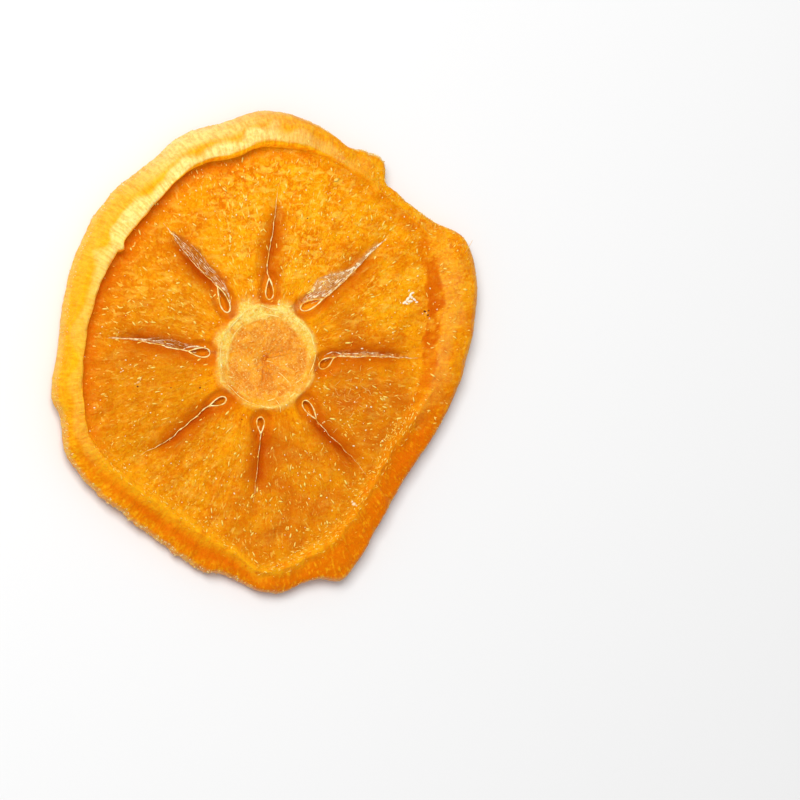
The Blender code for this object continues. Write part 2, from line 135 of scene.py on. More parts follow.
RIM_SLOPE = (
    (0, 0.0018), (22, 0.0017), (38, 0.0007), (60, 0.0003), (90, 0.0001), (200, 0.0001), (215, 0.0002),
    (320, 0.0004), (338, 0.0007), (350, 0.0013),
)
RAGGED = (
    (0, 0.15), (40, 0.35), (60, 1.0), (72, 0.4), (110, 0.45), (160, 0.35), (196, 0.35), (212, 1.0),
    (262, 1.0), (285, 0.4), (330, 0.2),
)
FLESH_LIKE = (
    (0, 0.9), (12, 1), (48, 1), (60, 0.6), (74, 0.1), (90, 0), (322, 0), (336, 0.2), (350, 0.6),
)
RAGGED_DEPTH = 0.00034
NUB_ANGLE = 144.5
NUB_REACH = 0.0007
NUB_WIDTH = 1.1

# The ring round the core: its outer and inner lines, and the pale webs that reach out from it between the
# pockets, as (degrees, reach)
RING_LINE = (
    (0, 0.00670), (25, 0.00690), (45, 0.00680), (70, 0.00695), (90, 0.00690), (112, 0.00690),
    (135, 0.00655), (158, 0.00660), (182, 0.00650), (205, 0.00660), (228, 0.00645), (250, 0.00640),
    (270, 0.00628), (292, 0.00645), (312, 0.00650), (335, 0.00675),
)
RING_INSIDE = (
    (0, 0.00590), (40, 0.00560), (90, 0.00530), (140, 0.00530), (180, 0.00525), (230, 0.00550),
    (270, 0.00535), (320, 0.00560),
)
RING_FILL = (
    (0, 0.35), (25, 0.80), (45, 1.0), (90, 1.0), (135, 1.0), (160, 0.80), (195, 0.60), (215, 0.20),
    (250, 0.12), (280, 0.30), (310, 0.45), (335, 0.22),
)
RING_WEBS = (
    (20, 0.0008), (66, 0.0016), (113, 0.0021), (158, 0.0012), (205, 0.0009), (250, 0.0006), (292, 0.0008),
    (337, 0.0006),
)

# Each seed pocket: its inner end, its outer tip, its width, and the points of the crease that runs on from
# it; which side of the crease is the deeper one (1 for its left, seen from the core), how deep that side is
# and how much shade is painted on it, and how pale and thick the thread along the crease is; on which side a
# strip of seed skin has dried on to the flesh, how wide that strip is, at which share of the way out it is
# widest, and how brown
Pocket = namedtuple("Pocket", "inner tip width crease side dark pale skin_side skin widest aged")
POCKETS = (
    Pocket(
        (0.0006, 0.0077), (0.0006, 0.0105), 0.00115,
        ((0.0003, 0.0118), (0.0012, 0.0171), (0.0019, 0.0227)),
        -1, 0.85, 0.75, 1, 0.0, 0.5, 0.0,
    ),
    Pocket(
        (0.0049, 0.0065), (0.0080, 0.0078), 0.00120,
        ((0.0101, 0.0094), (0.0126, 0.01175), (0.0150, 0.0141), (0.0173, 0.0160)),
        -1, 0.60, 0.65, 1, 0.0028, 0.28, 0.1,
    ),
    Pocket(
        (0.0075, -0.0011), (0.0096, 0.0002), 0.00125,
        ((0.0120, 0.0003), (0.0160, 0.0003), (0.0215, 0.0001)),
        1, 0.85, 0.80, 1, 0.0006, 0.5, 0.4,
    ),
    Pocket(
        (0.0053, -0.0055), (0.0071, -0.0079), 0.00120,
        ((0.0098, -0.0107), (0.0119, -0.0126), (0.0141, -0.0151)),
        -1, 1.00, 0.15, 1, 0.0, 0.5, 0.0,
    ),
    Pocket(
        (-0.0006, -0.0076), (-0.0005, -0.0097), 0.00110,
        ((-0.0007, -0.0120), (-0.0010, -0.0153), (-0.0015, -0.0187)),
        1, 1.00, 0.25, 1, 0.0, 0.5, 0.0,
    ),
    Pocket(
        (-0.0053, -0.0052), (-0.0075, -0.0061), 0.00105,
        ((-0.0102, -0.0082), (-0.0129, -0.0104), (-0.0168, -0.0125)),
        1, 1.00, 1.15, 1, 0.0, 0.5, 0.0,
    ),
    Pocket(
        (-0.0075, 0.0007), (-0.0104, 0.0009), 0.00130,
        ((-0.0138, 0.0016), (-0.0178, 0.0024), (-0.0216, 0.0026)),
        -1, 0.90, 0.90, -1, 0.0012, 0.4, 0.9,
    ),
    Pocket(
        (-0.0050, 0.0060), (-0.0064, 0.0094), 0.00130,
        ((-0.0087, 0.0114), (-0.0109, 0.0140), (-0.0135, 0.0174)),
        1, 1.00, 0.30, -1, 0.0017, 0.6, 0.8,
    ),
)
POCKET_DEPTH = 0.0009
POCKET_WALL = 0.00026
TEAR_SWELL = 1.25
TEAR_POINT = 1.1
BASE_SHRINK = 0.96
TROUGH_DEPTH = 0.00026
TROUGH_WIDTH = 0.0012
COLLAR_HEIGHT = 0.00012
COLLAR_REACH = 0.00125
COLLAR_WIDTH = 0.00032
COLLAR_RUN = 0.0022
MOAT_DEPTH = 0.00010
MOAT_REACH = 0.00062
MOAT_WIDTH = 0.00036
GROOVE_DEPTH = 0.00036
GROOVE_OFFSET = 0.00036
GROOVE_WIDTH = 0.00034

# The unevenness of the dried surface, each kind as layers of noise: height, size, number of the pattern.
# The nicks' heights are shares of RAGGED_DEPTH, and the sizes of nicks, foot waves and spokes are shares of
# the radius.
EDGE_NICKS = ((0.7, 0.110, 3), (0.5, 0.034, 4), (0.45, 0.013, 5))
FOOT_WAVES = ((0.00016, 0.11, 1), (0.00010, 0.045, 2))
HUMMOCKS = ((0.00018, 0.0019, 6),)
DRAWN_HUMMOCKS = ((0.00012, 0.0009, 7),)
WRINKLES = ((0.00010, 0.00045, 8),)
CORE_SPOKES = ((1.0, 0.16, 10), (0.8, 0.07, 11))
CORE_GRAIN = ((0.00010, 0.0007, 12), (0.00005, 0.0003, 17))
CROSS_RIDGES = ((0.00016, 0.0011, 13), (0.00008, 0.0004, 14))
CREST_PITS = ((0.00014, 0.0011, 15), (0.00009, 0.0005, 16))
CREST_SWELLS = ((0.00034, 0.0032, 25),)
FLAT_FOLDS = ((0.00030, 0.0034, 18),)
WRINKLED_FROM = (0.0070, 0.0095)
MOAT_FROM = (0.0069, 0.0078)
CORE_PIT = (0.00030, 0.0007)

# The grid of points: its steps, where it is finer, and the round on which drawn-out detail is measured
TOP_STEP = 0.00029
BASE_STEP = 0.00085
TURN_STEPS = 144
ROUTE_STEPS = 5
FINER_OUTSIDE = (ROUND_RADIUS, 0.0160)
FINER_NEAR_POCKETS = (0.0013, 0.0005)
LEVEL = 0.00004
RIM_UNDERSIDE = 0.0270
FACE_END = 0.0256
WELD = 0.000001
NOISE_DRAW = 3.7
SPREAD_RADIUS = 0.0145
SPREAD_LENGTH = 0.30


def bump(distance, width):
    """A smooth rise of height 1 at distance 0 that has died away two widths out."""
    return np.exp(-((distance / width) ** 2))


def step(value, low, high):
    """0 below low, 1 above high, with a smooth rise between."""
    share = np.clip((value - low) / (high - low), 0, 1)
    return share * share * (3 - 2 * share)


def around(table, angle):
    """A smooth closed curve through (degrees, value) rows, read at angles in radians."""
    rows = np.array(table, float)
    degrees = np.degrees(angle) % 360
    after = np.searchsorted(rows[:, 0], degrees, side="right")
    turns, row = np.divmod(after[:, None] + np.arange(-2, 2), len(rows))
    a0, a1, a2, a3 = (rows[row, 0] + 360 * turns).T
    v0, v1, v2, v3 = rows[row, 1].T
    span = a2 - a1
    t = (degrees - a1) / span
    out_slope = (v2 - v0) / (a2 - a0) * span
    in_slope = (v3 - v1) / (a3 - a1) * span
    return (
        (2 * t**3 - 3 * t**2 + 1) * v1
        + (t**3 - 2 * t**2 + t) * out_slope
        + (3 * t**2 - 2 * t**3) * v2
        + (t**3 - t**2) * in_slope
    )


def share_around(table, angle):
    """The same curve, kept between 0 and 1."""
    return np.clip(around(table, angle), 0, 1)


def noise_at(places):
    """Smooth noise, within about half a unit of 0, at rows of places."""
    return np.fromiter((noise.noise(place) for place in places.tolist()), float, len(places))


def rough(x, y, size, draw=0):
    """Noise of a size over the plane; each draw is another pattern."""
    return noise_at(np.column_stack((x / size, y / size, np.full(len(x), NOISE_DRAW * draw))))


def layered(x, y, layers, kind=rough):
    """Layers of noise over the plane, added up."""
    return sum(height * kind(x, y, size, draw) for height, size, draw in layers)


def layered_round(angle, layers):
    """Layers of noise, read once round the slice."""
    return layered(np.cos(angle), np.sin(angle), layers)


def spread_out(x, y):
    """Places in which everything that is drawn out along the radius looks round."""
    radius, angle = np.hypot(x, y), np.arctan2(y, x)
    round_x, round_y = SPREAD_RADIUS * np.cos(angle), SPREAD_RADIUS * np.sin(angle)
    return np.column_stack((round_x, round_y, SPREAD_LENGTH * radius))


def drawn_rough(x, y, size, draw):
    """The same noise, drawn out along the radius."""
    return noise_at(spread_out(x, y) / size + (0, 0, NOISE_DRAW * draw))


def smooth_run(points, steps):
    """A smooth run through points, each leg cut into equal steps."""
    rows = np.array([points[0], *points, points[-1]], float)
    t = (np.arange(steps) / steps)[:, None]
    legs = []
    for before, start, end, after in zip(rows, rows[1:], rows[2:], rows[3:]):
        legs.append(
            0.5 * (2 * start + (end - before) * t + (2 * before - 5 * start + 4 * end - after) * t**2
                   + (3 * start - before - 3 * end + after) * t**3)
        )
    return np.vstack([*legs, rows[-1:]])


def top_profile(radius):
    """Height of the turned top face: a dimpled core, its ring, and flesh that sinks towards the rim."""
    sink = np.maximum(0, (radius - RING_RADIUS) / (RIM_INNER - RING_RADIUS))
    return (
        TOP_FLESH
        - CORE_DIMPLE * bump(radius, CORE_RADIUS / 2)
        + RING_HEIGHT * bump(radius - RING_RADIUS, RING_WIDTH)
        - TOP_SINK * sink**2
    )


def base_profile(radius):
    """Height of the turned underside, which has sunk upwards in the same way."""
    return (
        BASE_FLESH
        + CORE_DIMPLE / 2 * bump(radius, CORE_RADIUS / 2)
        - RING_HEIGHT / 2 * bump(radius - RING_RADIUS, RING_WIDTH)
    )


def turned_section():
    """Half of the section, from the middle of the top round the rim to the middle of the base."""
    top_radii = np.arange(0, RIM_INNER - TOP_STEP / 2, TOP_STEP)
    base_radii = np.arange(0, RIM_INNER - BASE_STEP / 2, BASE_STEP)[::-1]
    over = smooth_run(RIM_SECTION[: RIM_TOP_LEGS + 1], RIM_TOP_STEPS)
    under = smooth_run(RIM_SECTION[RIM_TOP_LEGS:], RIM_BASE_STEPS)[1:]
    rim = [
        (RIM_INNER + share * (RIM_OUTER - RIM_INNER), height) for share, height in np.vstack([over, under])
    ]
    top = [(radius, top_profile(radius)) for radius in top_radii]
    base = [(radius, base_profile(radius)) for radius in base_radii]
    return top + rim + base


def is_top(radius, height):
    """Which points of the turned body belong to its top face and the rim down to its widest line."""
    return height > np.where(radius > RIM_INNER, WIDEST_HEIGHT, WAIST_HEIGHT)


def rim_share(radius):
    """How far across the turned body's rim a radius lies, from 0 at its foot to 1 at its widest line."""
    return (radius - RIM_INNER) / (RIM_OUTER - RIM_INNER)


def rim_foot(angle):
    """The inner edge of the rim, which waves finely and has one nub."""
    nub = NUB_REACH * bump(np.degrees(angle) % 360 - NUB_ANGLE, NUB_WIDTH)
    return around(RIM_FOOT, angle) + layered_round(angle, FOOT_WAVES) - nub


def slice_edge(angle):
    """The outline, frayed where the edge is ragged."""
    nicks = layered_round(angle, EDGE_NICKS)
    return around(OUTLINE, angle) + RAGGED_DEPTH * around(RAGGED, angle) * nicks


def placed(radius, angle, height, top):
    """Where points of the turned body lie once the slice has its own outline."""
    foot = rim_foot(angle)
    edge = slice_edge(angle)
    share = rim_share(radius)
    slope = np.where(top, around(RIM_SLOPE, angle), 0)
    crest = np.clip((TOP_RIM - height) / (TOP_RIM - TOP_FLESH + TOP_SINK), 0, 1)
    round_to_foot = foot - slope - ROUND_RADIUS
    across_flesh = ROUND_RADIUS + (radius - ROUND_RADIUS) * round_to_foot / (RIM_INNER - ROUND_RADIUS)
    across_rim = foot + share * (edge - foot) - slope * crest * (1 - step(share, 0.10, 0.30))
    outside = np.where(radius <= RIM_INNER, across_flesh, across_rim)
    out = np.where(radius <= ROUND_RADIUS, radius, outside)
    return out * np.cos(angle), out * np.sin(angle)


def warp(x, y):
    """The slice has dried unevenly: its rim lifts in three stretches between the three it rests on."""
    reach = np.minimum(1, (x * x + y * y) / RIM_OUTER**2)
    swing = np.cos(3 * np.arctan2(y, x) - math.radians(LIFT_TURN))
    lift = np.maximum(0, LIFT_MIDDLE - LIFT_SWING * swing)
    return RIM_LIFT * lift * reach + CENTRE_RISE * (1 - reach)


def along_route(x, y, route):
    """Along a route of points: the way travelled, the offset to its left, and the distance from it."""
    nearest = np.full(len(x), np.inf)
    travelled = np.zeros(len(x))
    offset = np.zeros(len(x))
    way = 0.0
    for (x0, y0), (x1, y1) in zip(route, route[1:]):
        length = math.hypot(x1 - x0, y1 - y0)
        ux, uy = (x1 - x0) / length, (y1 - y0) / length
        along = np.clip((x - x0) * ux + (y - y0) * uy, 0, length)
        gap = np.hypot(x - x0 - along * ux, y - y0 - along * uy)
        left = ux * (y - y0) - uy * (x - x0)
        closer = gap < nearest
        nearest = np.where(closer, gap, nearest)
        travelled = np.where(closer, way + along, travelled)
        offset = np.where(closer, left, offset)
        way += length
    return travelled, offset, nearest


def loop_distance(x, y, loop):
    """Distance to a closed loop of points, negative inside it."""
    nearest = np.full(len(x), np.inf)
    inside = np.zeros(len(x), bool)
    for (x0, y0), (x1, y1) in zip(loop, np.roll(loop, -1, axis=0)):
        ex, ey = x1 - x0, y1 - y0
        share = np.clip(((x - x0) * ex + (y - y0) * ey) / (ex * ex + ey * ey), 0, 1)
        nearest = np.minimum(nearest, np.hypot(x - x0 - share * ex, y - y0 - share * ey))
        if y0 != y1:
            inside ^= ((y0 > y) != (y1 > y)) & (x < ex * (y - y0) / ey + x0)
    return np.where(inside, -nearest, nearest)


def teardrop(pocket, sides=40):
    """Outline of a seed pocket, round at its inner end and pointed at its tip."""
    start, end = np.array(pocket.inner), np.array(pocket.tip)
    along = (end - start) / np.linalg.norm(end - start)
    across = np.array((-along[1], along[0])) * pocket.width / 2
    bend = 2 * math.pi * np.arange(sides) / sides
    share = (1 - np.cos(bend))[:, None] / 2
    swell = (TEAR_SWELL * np.sin(bend) * np.abs(np.sin(bend / 2)) ** TEAR_POINT)[:, None]
    return end + (start - end) * share + across * swell


def route_of(pocket):
    """The line from a pocket's inner end out along its crease, as a smooth run of points."""
    return smooth_run([pocket.inner, pocket.tip, *pocket.crease], ROUTE_STEPS)


def lengths_of(pocket):
    """The length of a pocket, and its length with its crease."""
    length = math.dist(pocket.inner, pocket.tip)
    return length, length + sum(math.dist(a, b) for a, b in zip((pocket.tip, *pocket.crease), pocket.crease))


def beside_pocket(pocket, travelled):
    """1 beside the pocket itself, falling to 0 along its crease."""
    length, _ = lengths_of(pocket)
    return 1 - step(travelled, length, length + COLLAR_RUN)


def skin_width(pocket, share):
    """How wide a pocket's strip of seed skin is at a share of the way out along its crease."""
    shares = (0, pocket.widest, pocket.widest + 0.13, pocket.widest + 0.28, 1)
    return pocket.skin * np.interp(share, shares, (0.35, 1, 0.75, 0.18, 0.05))


def drawn_in(pocket):
    """The same pocket as it lies on the underside, a little nearer the core."""
    def nearer(point):
        return tuple(BASE_SHRINK * value for value in point)
    crease = tuple(nearer(point) for point in pocket.crease)
    return pocket._replace(inner=nearer(pocket.inner), tip=nearer(pocket.tip), crease=crease)


def vertex_places(shape):
    """Radius, angle, height and side of a turned bmesh's vertices, set out from its flats to the round."""
    co = np.array([vert.co for vert in shape.verts])
    angle = np.arctan2(co[:, 1], co[:, 0])
    half_step = math.pi / TURN_STEPS
    from_corner = np.cos(angle % (2 * half_step) - half_step)
    radius = np.hypot(co[:, 0], co[:, 1]) * from_corner / math.cos(half_step)
    radius = np.round(radius, 7)
    return radius, angle, co[:, 2], is_top(radius, co[:, 2])


def edge_ends(shape):
    """The numbers of the two vertices of each edge of a bmesh."""
    shape.verts.index_update()
    return np.array([[vert.index for vert in edge.verts] for edge in shape.edges]).T


def subdivide(shape, wanted):
    """Cuts the wanted edges of a bmesh in two."""
    edges = [edge for edge, want in zip(shape.edges, wanted) if want]
    bmesh.ops.subdivide_edges(shape, edges=edges, cuts=1, use_grid_fill=True)


def subdivide_round(shape, inner):
    """Doubles the steps round the top face and the rim, outside a radius."""
    radius, _, height, top = vertex_places(shape)
    a, b = edge_ends(shape)
    level = (abs(radius[a] - radius[b]) < LEVEL) & (abs(height[a] - height[b]) < LEVEL)
    outside = np.minimum(radius[a], radius[b]) > inner
    subdivide(shape, level & outside & (top[a] | top[b] | (radius[a] > RIM_UNDERSIDE)))


def subdivide_near(shape, distance):
    """Halves the edges near the seed pockets and their creases, on both faces."""
    radius, angle, height, top = vertex_places(shape)
    x, y = placed(radius, angle, height, top)
    near = np.zeros(len(x), bool)
    for pocket in POCKETS:
        from_crease = along_route(x, y, route_of(pocket))[2]
        to_top = np.minimum(loop_distance(x, y, teardrop(pocket)), 1.6 * from_crease)
        to_base = np.maximum(loop_distance(x, y, teardrop(drawn_in(pocket))), 0)
        near |= np.where(top, to_top < distance, to_base < distance / 3)
    a, b = edge_ends(shape)
    subdivide(shape, near[a] & near[b])


def pocket_relief(x, y, pocket):
    """Height that a seed pocket, its collar and its crease add to the flesh round them."""
    travelled, offset, gap = along_route(x, y, route_of(pocket))
    edge = loop_distance(x, y, teardrop(pocket))
    length, full = lengths_of(pocket)
    beside = beside_pocket(pocket, travelled)
    collar = COLLAR_HEIGHT * bump(edge - COLLAR_REACH, COLLAR_WIDTH) * beside
    moat = MOAT_DEPTH * bump(edge - MOAT_REACH, MOAT_WIDTH) * beside * step(np.hypot(x, y), *MOAT_FROM)
    on_crease = step(travelled, 0.8 * length, 1.3 * length) * (1 - step(travelled, 0.72 * full, full))
    groove = GROOVE_DEPTH * pocket.dark * bump(offset * pocket.side - GROOVE_OFFSET, GROOVE_WIDTH)
    groove = groove * on_crease * (travelled < full) * (gap < 4 * GROOVE_WIDTH)
    return (
        -TROUGH_DEPTH * bump(gap, TROUGH_WIDTH)
        - POCKET_DEPTH * step(-edge, 0, POCKET_WALL)
        + collar * (edge > 0)
        - moat
        - groove
    )


def flesh_relief(x, y):
    """The slice's own unevenness: soft waves, hummocks and fine wrinkles of the dried flesh."""
    waves = WAVE_HEIGHT * rough(x, y, WAVE_LENGTH)
    hummocks = layered(x, y, HUMMOCKS) + layered(x, y, DRAWN_HUMMOCKS, drawn_rough)
    wrinkles = layered(x, y, WRINKLES, drawn_rough)
    return waves + (hummocks + wrinkles) * step(np.hypot(x, y), *WRINKLED_FROM)


def core_relief(x, y):
    """The lines of the ring, and the wrinkles that run out from a small pit in the middle of the core."""
    radius, angle = np.hypot(x, y), np.arctan2(y, x)
    line = around(RING_LINE, angle)
    broken = 0.8 + 0.9 * rough(x, y, 0.0012, 9)
    outer = 0.00013 * bump(radius - line, 0.00022)
    inner = 0.00010 * bump(radius - around(RING_INSIDE, angle), 0.00014) * broken
    furrow = 0.00010 * bump(radius - 0.93 * line, 0.00020) * (0.5 + 0.5 * np.sin(angle))
    spokes = layered_round(angle, CORE_SPOKES)
    wrinkled = 0.00016 * spokes * step(radius, 0.0002, 0.0012) * (1 - step(radius, 0.0026, 0.0052))
    wrinkled = wrinkled * (0.55 + 0.45 * np.cos(angle + math.radians(35)))
    grain = layered(x, y, CORE_GRAIN) * (1 - step(radius, 0.0072, 0.0082))
    pit_depth, pit_width = CORE_PIT
    return outer + inner - furrow + wrinkled + grain - pit_depth * bump(radius, pit_width)


def rim_relief(radius, angle, x, y):
    """Fine cross ridges on the raised rim's wall, a pitted crest and the soft folds of the flat rim."""
    share = rim_share(radius)
    on_round = RIM_OUTER * np.cos(angle), RIM_OUTER * np.sin(angle)
    ridges = layered(*on_round, CROSS_RIDGES) * (1 - 0.8 * share_around(FLESH_LIKE, angle))
    folds = layered(*on_round, FLAT_FOLDS) * share_around(FLAT, angle)
    swells = layered(x, y, CREST_SWELLS)
    pits = layered(x, y, CREST_PITS)
    return ((ridges + folds) * step(share, 0.2, 0.5) + swells + pits) * step(share, 0.02, 0.16)


def rim_height(radius, angle, height, x, y):
    """Height of the rim's top, which is raised, flat or broad in turn round the slice."""
    share = rim_share(radius)
    rim_base = TOP_FLESH - TOP_SINK
    rise = around(RIM_RISE, angle) + RIM_WAVE_HEIGHT / (TOP_RIM - rim_base) * rough(x, y, RIM_WAVE_LENGTH)
    raised = np.minimum(height, rim_base) + np.maximum(0, height - rim_base) * rise
    flat = np.interp(share, *np.transpose(FLAT_RIM))
    ridge_share = 0.09 + 0.05 * rough(x, y, 0.0016, 19)
    ridge_height = around(RIDGE_RISE, angle) * (0.9 + 0.8 * rough(x, y, 0.0008, 21))
    flat = flat + ridge_height * bump(share - ridge_share, 0.11)
    flat = flat - around(GROOVE_SINK, angle) * bump(share - 0.42, 0.15)
    broad = np.interp(share, *np.transpose(BROAD_RIM))
    is_flat, is_broad = share_around(FLAT, angle), share_around(BROAD, angle)
    return raised * (1 - is_flat - is_broad) + flat * is_flat + broad * is_broad


shape = bmesh.new()
section = [shape.verts.new((radius, 0, height)) for radius, height in turned_section()]
lines = [shape.edges.new(pair) for pair in zip(section, section[1:])]
bmesh.ops.spin(
    shape, geom=section + lines, cent=(0, 0, 0), axis=(0, 0, 1),
    angle=math.tau, steps=TURN_STEPS, use_merge=True,
)
bmesh.ops.remove_doubles(shape, verts=shape.verts, dist=WELD)
bmesh.ops.recalc_face_normals(shape, faces=shape.faces)
for inner in FINER_OUTSIDE:
    subdivide_round(shape, inner)
for distance in FINER_NEAR_POCKETS:
    subdivide_near(shape, distance)

radius, angle, height, top = vertex_places(shape)
x, y = placed(radius, angle, height, top)
on_rim = radius > RIM_INNER
z = np.where(on_rim & top, rim_height(radius, angle, height, x, y), height)
relief = flesh_relief(x, y) + core_relief(x, y) + sum(pocket_relief(x, y, pocket) for pocket in POCKETS)
base_relief = 0.4 * flesh_relief(x, y) + 0.5 * core_relief(x, y)
base_relief = base_relief + sum(pocket_relief(x, y, drawn_in(pocket)) for pocket in POCKETS)
face_share = np.where(on_rim, 1 - step(radius, RIM_INNER, FACE_END), 1)
z = z + np.where(top, relief * face_share, -base_relief * face_share * (1 - on_rim))
z = z + np.where(on_rim & top, rim_relief(radius, angle, x, y), 0)
z = np.maximum(0, z + warp(x, y))

turn = 2 * math.pi * np.arange(90) / 90
edge_x, edge_y = around(OUTLINE, turn) * np.cos(turn), around(OUTLINE, turn) * np.sin(turn)
CORE = np.array(((edge_x.min() + edge_x.max()) / -2, (edge_y.min() + edge_y.max()) / -2))
for vert, place in zip(shape.verts, np.column_stack((x + CORE[0], y + CORE[1], z)).tolist()):
    vert.co = place

# Round the slice, for its colours: how pale the crest, the outer wall and the very edge are (the crest's
# paleness partly painted light, palest where it faces the lamp), how much painted light and shade the rim
# gets by the side it turns to the lamp, how much painted shade lies at the foot of its inner wall and how
# far it reaches, where the crest begins, and how brown, how frosted and how golden the flesh is
# The crest's paleness is partly painted light: palest on the upper left, where it faces the lamp
CREST_PALE_AND_LIT = (
    (0, 0.10), (45, 0.10), (60, 0.30), (80, 0.50), (95, 0.95), (138, 0.90), (156, 0.45), (180, 0.12),
    (210, 0.25), (235, 0.42), (260, 0.40), (285, 0.30), (325, 0.30), (345, 0.15),
)
OUTER_PALE = (
    (0, 0.0), (60, 0.0), (84, 0.10), (100, 0.65), (114, 0.80), (128, 0.25), (150, 0.08), (172, 0.0),
    (330, 0.0),
)
EDGE_PALE = (
    (0, 0.15), (20, 0.35), (45, 0.60), (60, 0.80), (72, 0.50), (110, 0.50), (160, 0.35), (196, 0.30),
    (212, 0.32), (262, 0.32), (285, 0.30), (330, 0.25),
)
# Painted light and shade on the rim: lighter where it faces the lamp on the upper left, darker where it faces
# away on the lower right
PAINTED_RIM_LIGHT_AND_SHADE = (
    (0, 0.50), (25, 0.62), (45, 0.50), (62, 0.62), (80, 0.70), (100, 0.80), (150, 1.0), (185, 0.95),
    (203, 0.60), (225, 0.46), (250, 0.32), (270, 0.16), (292, 0.16), (312, 0.10), (335, 0.05), (348, 0.25),
)
FOOT_SHADE = (
    (0, 1.0), (22, 0.95), (40, 0.50), (60, 0.40), (85, 0.45), (100, 0.85), (150, 0.90), (175, 0.70),
    (190, 0.65), (208, 0.45), (222, 0.10), (300, 0.0), (325, 0.0), (338, 0.30), (350, 0.80),
)
SHADE_REACH = (
    (0, 0.0003), (26, 0.0004), (45, 0.0014), (70, 0.0022), (110, 0.0030), (190, 0.0030), (215, 0.0014),
    (330, 0.0008),
)
CREST_START = ((0, 0.02), (66, 0.05), (82, 0.12), (100, 0.12), (114, 0.05), (128, 0.02), (200, 0.02))
RIPE = (
    (0, 0.45), (22, 0.10), (50, 0.12), (75, 0.0), (100, 0.05), (125, 0.25), (150, 0.40), (180, 0.60),
    (205, 0.35), (240, 0.25), (270, 0.70), (300, 0.65), (325, 0.80), (345, 0.75),
)
HAZE = (
    (0, 0.20), (20, 0.50), (50, 0.65), (75, 1.0), (100, 0.95), (130, 0.70), (160, 0.60), (185, 0.25),
    (215, 0.35), (245, 0.40), (270, 0.20), (300, 0.25), (325, 0.30), (345, 0.30),
)
GOLDEN = (
    (0, 0.15), (30, 0.15), (70, 0.0), (120, 0.10), (145, 0.45), (170, 0.90), (205, 0.95), (225, 0.65),
    (245, 0.30), (280, 0.25), (330, 0.30),
)
GROOVE_FULL = 0.00020
FOOT_RADIUS = 0.015

# Soft stains of the browner flesh right of the core, and of the core itself: strength, place, width, and
# how drawn out each is in x and in y
TAN_STAINS = (
    (1.6, 0.0125, -0.0042, 0.0042, 1, 1),
    (0.7, 0.0120, 0.0022, 0.0020, 1, 1),
    (0.9, 0.0112, 0.0056, 0.0022, 1, 1),
)
CORE_STAINS = (
    (0.90, 0.0002, 0.0001, 0.0006, 1, 1),
    (0.60, 0.0021, 0.0009, 0.0009, 2, 1),
    (0.65, 0.0002, -0.0015, 0.0010, 1, 1.5),
)

# The masks of the flesh's colours, each worked out at every point of the surface
masks = {}


def deepen(name, values):
    """Raises a mask, which is 0 until then, wherever the values are higher."""
    masks[name] = np.maximum(masks.get(name, 0.0), values)


def stained(stains):
    """The soft stains of a list, added up."""
    return sum(
        strength * bump(np.hypot((x - at_x) / long_x, (y - at_y) / long_y), width)
        for strength, at_x, at_y, width, long_x, long_y in stains
    )


# The rim: the band that does not look like flesh, its pale crest, partly painted light, and its pale edge,
# the ridge and the groove of its flat stretch, the groove painted darker as shade, and the painted shade and
# the painted glow at the foot of its inner wall
share = rim_share(radius)
place_radius = np.hypot(x, y)
slope = around(RIM_SLOPE, angle)
inside_foot = rim_foot(angle) - slope - place_radius
flatness = share_around(FLAT, angle)
likeness = share_around(FLESH_LIKE, angle)
flesh_like = np.clip(likeness + 1.2 * rough(x, y, 0.0016, 26) * step(likeness, 0.02, 0.30), 0, 1)
band = on_rim * (1 - flesh_like)
crest_start = around(CREST_START, angle) + 0.05 * rough(x, y, 0.0016, 27)
crest = step(share, crest_start, crest_start + 0.06) * (1 - flatness)
crest = crest * (1 - step(share + 0.35 * rough(x, y, 0.0026, 28), 0.36, 0.60))
edge_pale = 0.7 * step(share, 0.86, 0.97) * around(EDGE_PALE, angle)
edge_pale = np.maximum(edge_pale, around(OUTER_PALE, angle) * step(share, 0.45, 0.75))
masks["on_rim"] = band
# painted light and shade on the rim, by the side it turns to the lamp
masks["wall"] = around(PAINTED_RIM_LIGHT_AND_SHADE, angle)
# the crest's pale colour, partly a painted highlight, and the real pale edge
masks["pale"] = np.maximum(around(CREST_PALE_AND_LIT, angle) * crest, edge_pale) * on_rim * top
ridge_wave = 0.0006 + 0.0005 * rough(x, y, 0.0018, 19)
ridge = bump(-inside_foot - ridge_wave, 0.0010) * flatness * (1 - flesh_like) * around(RIDGE_LIGHT, angle)
masks["ridge"] = ridge * np.clip(0.90 + 0.8 * rough(x, y, 0.0011, 20), 0, 1) * top
groove = np.clip(around(GROOVE_SINK, angle) / GROOVE_FULL, 0, 1)
# painted shade in the groove outside the ridge
masks["groove"] = groove * bump(share - 0.50, 0.20) * flatness * on_rim
uneven_foot = inside_foot + 0.0007 * rough(x, y, 0.0024, 22) * step(slope, 0.0004, 0.0012)
# painted shade on the flesh at the foot of the rim's inner wall, where the rim shades it
shade = around(FOOT_SHADE, angle) * step(uneven_foot, -slope - 0.0004, -slope + 0.0001)
shade = shade * (1 - step(uneven_foot, 0.0, around(SHADE_REACH, angle)))
shade = shade * (place_radius > FOOT_RADIUS) * (1 - on_rim * step(share, 0.005, 0.03) * (1 - likeness))
broken_shade = np.clip(1.00 + 1.3 * rough(x, y, 0.0016, 24) + 0.8 * rough(x, y, 0.0006, 29), 0, 1)
masks["shade"] = shade * (1 - likeness * (1 - broken_shade))
# painted glow: the rim's inner wall and the flesh at its foot are brightened and lit by emission, as if light
# shone through
glow = np.where(on_rim, 1 - step(share, 0.03, 0.10), 0.3 * bump(np.maximum(0, inside_foot), 0.0003))
masks["glow"] = glow * (1 - flatness) * (1 - likeness) * (place_radius > FOOT_RADIUS) * top

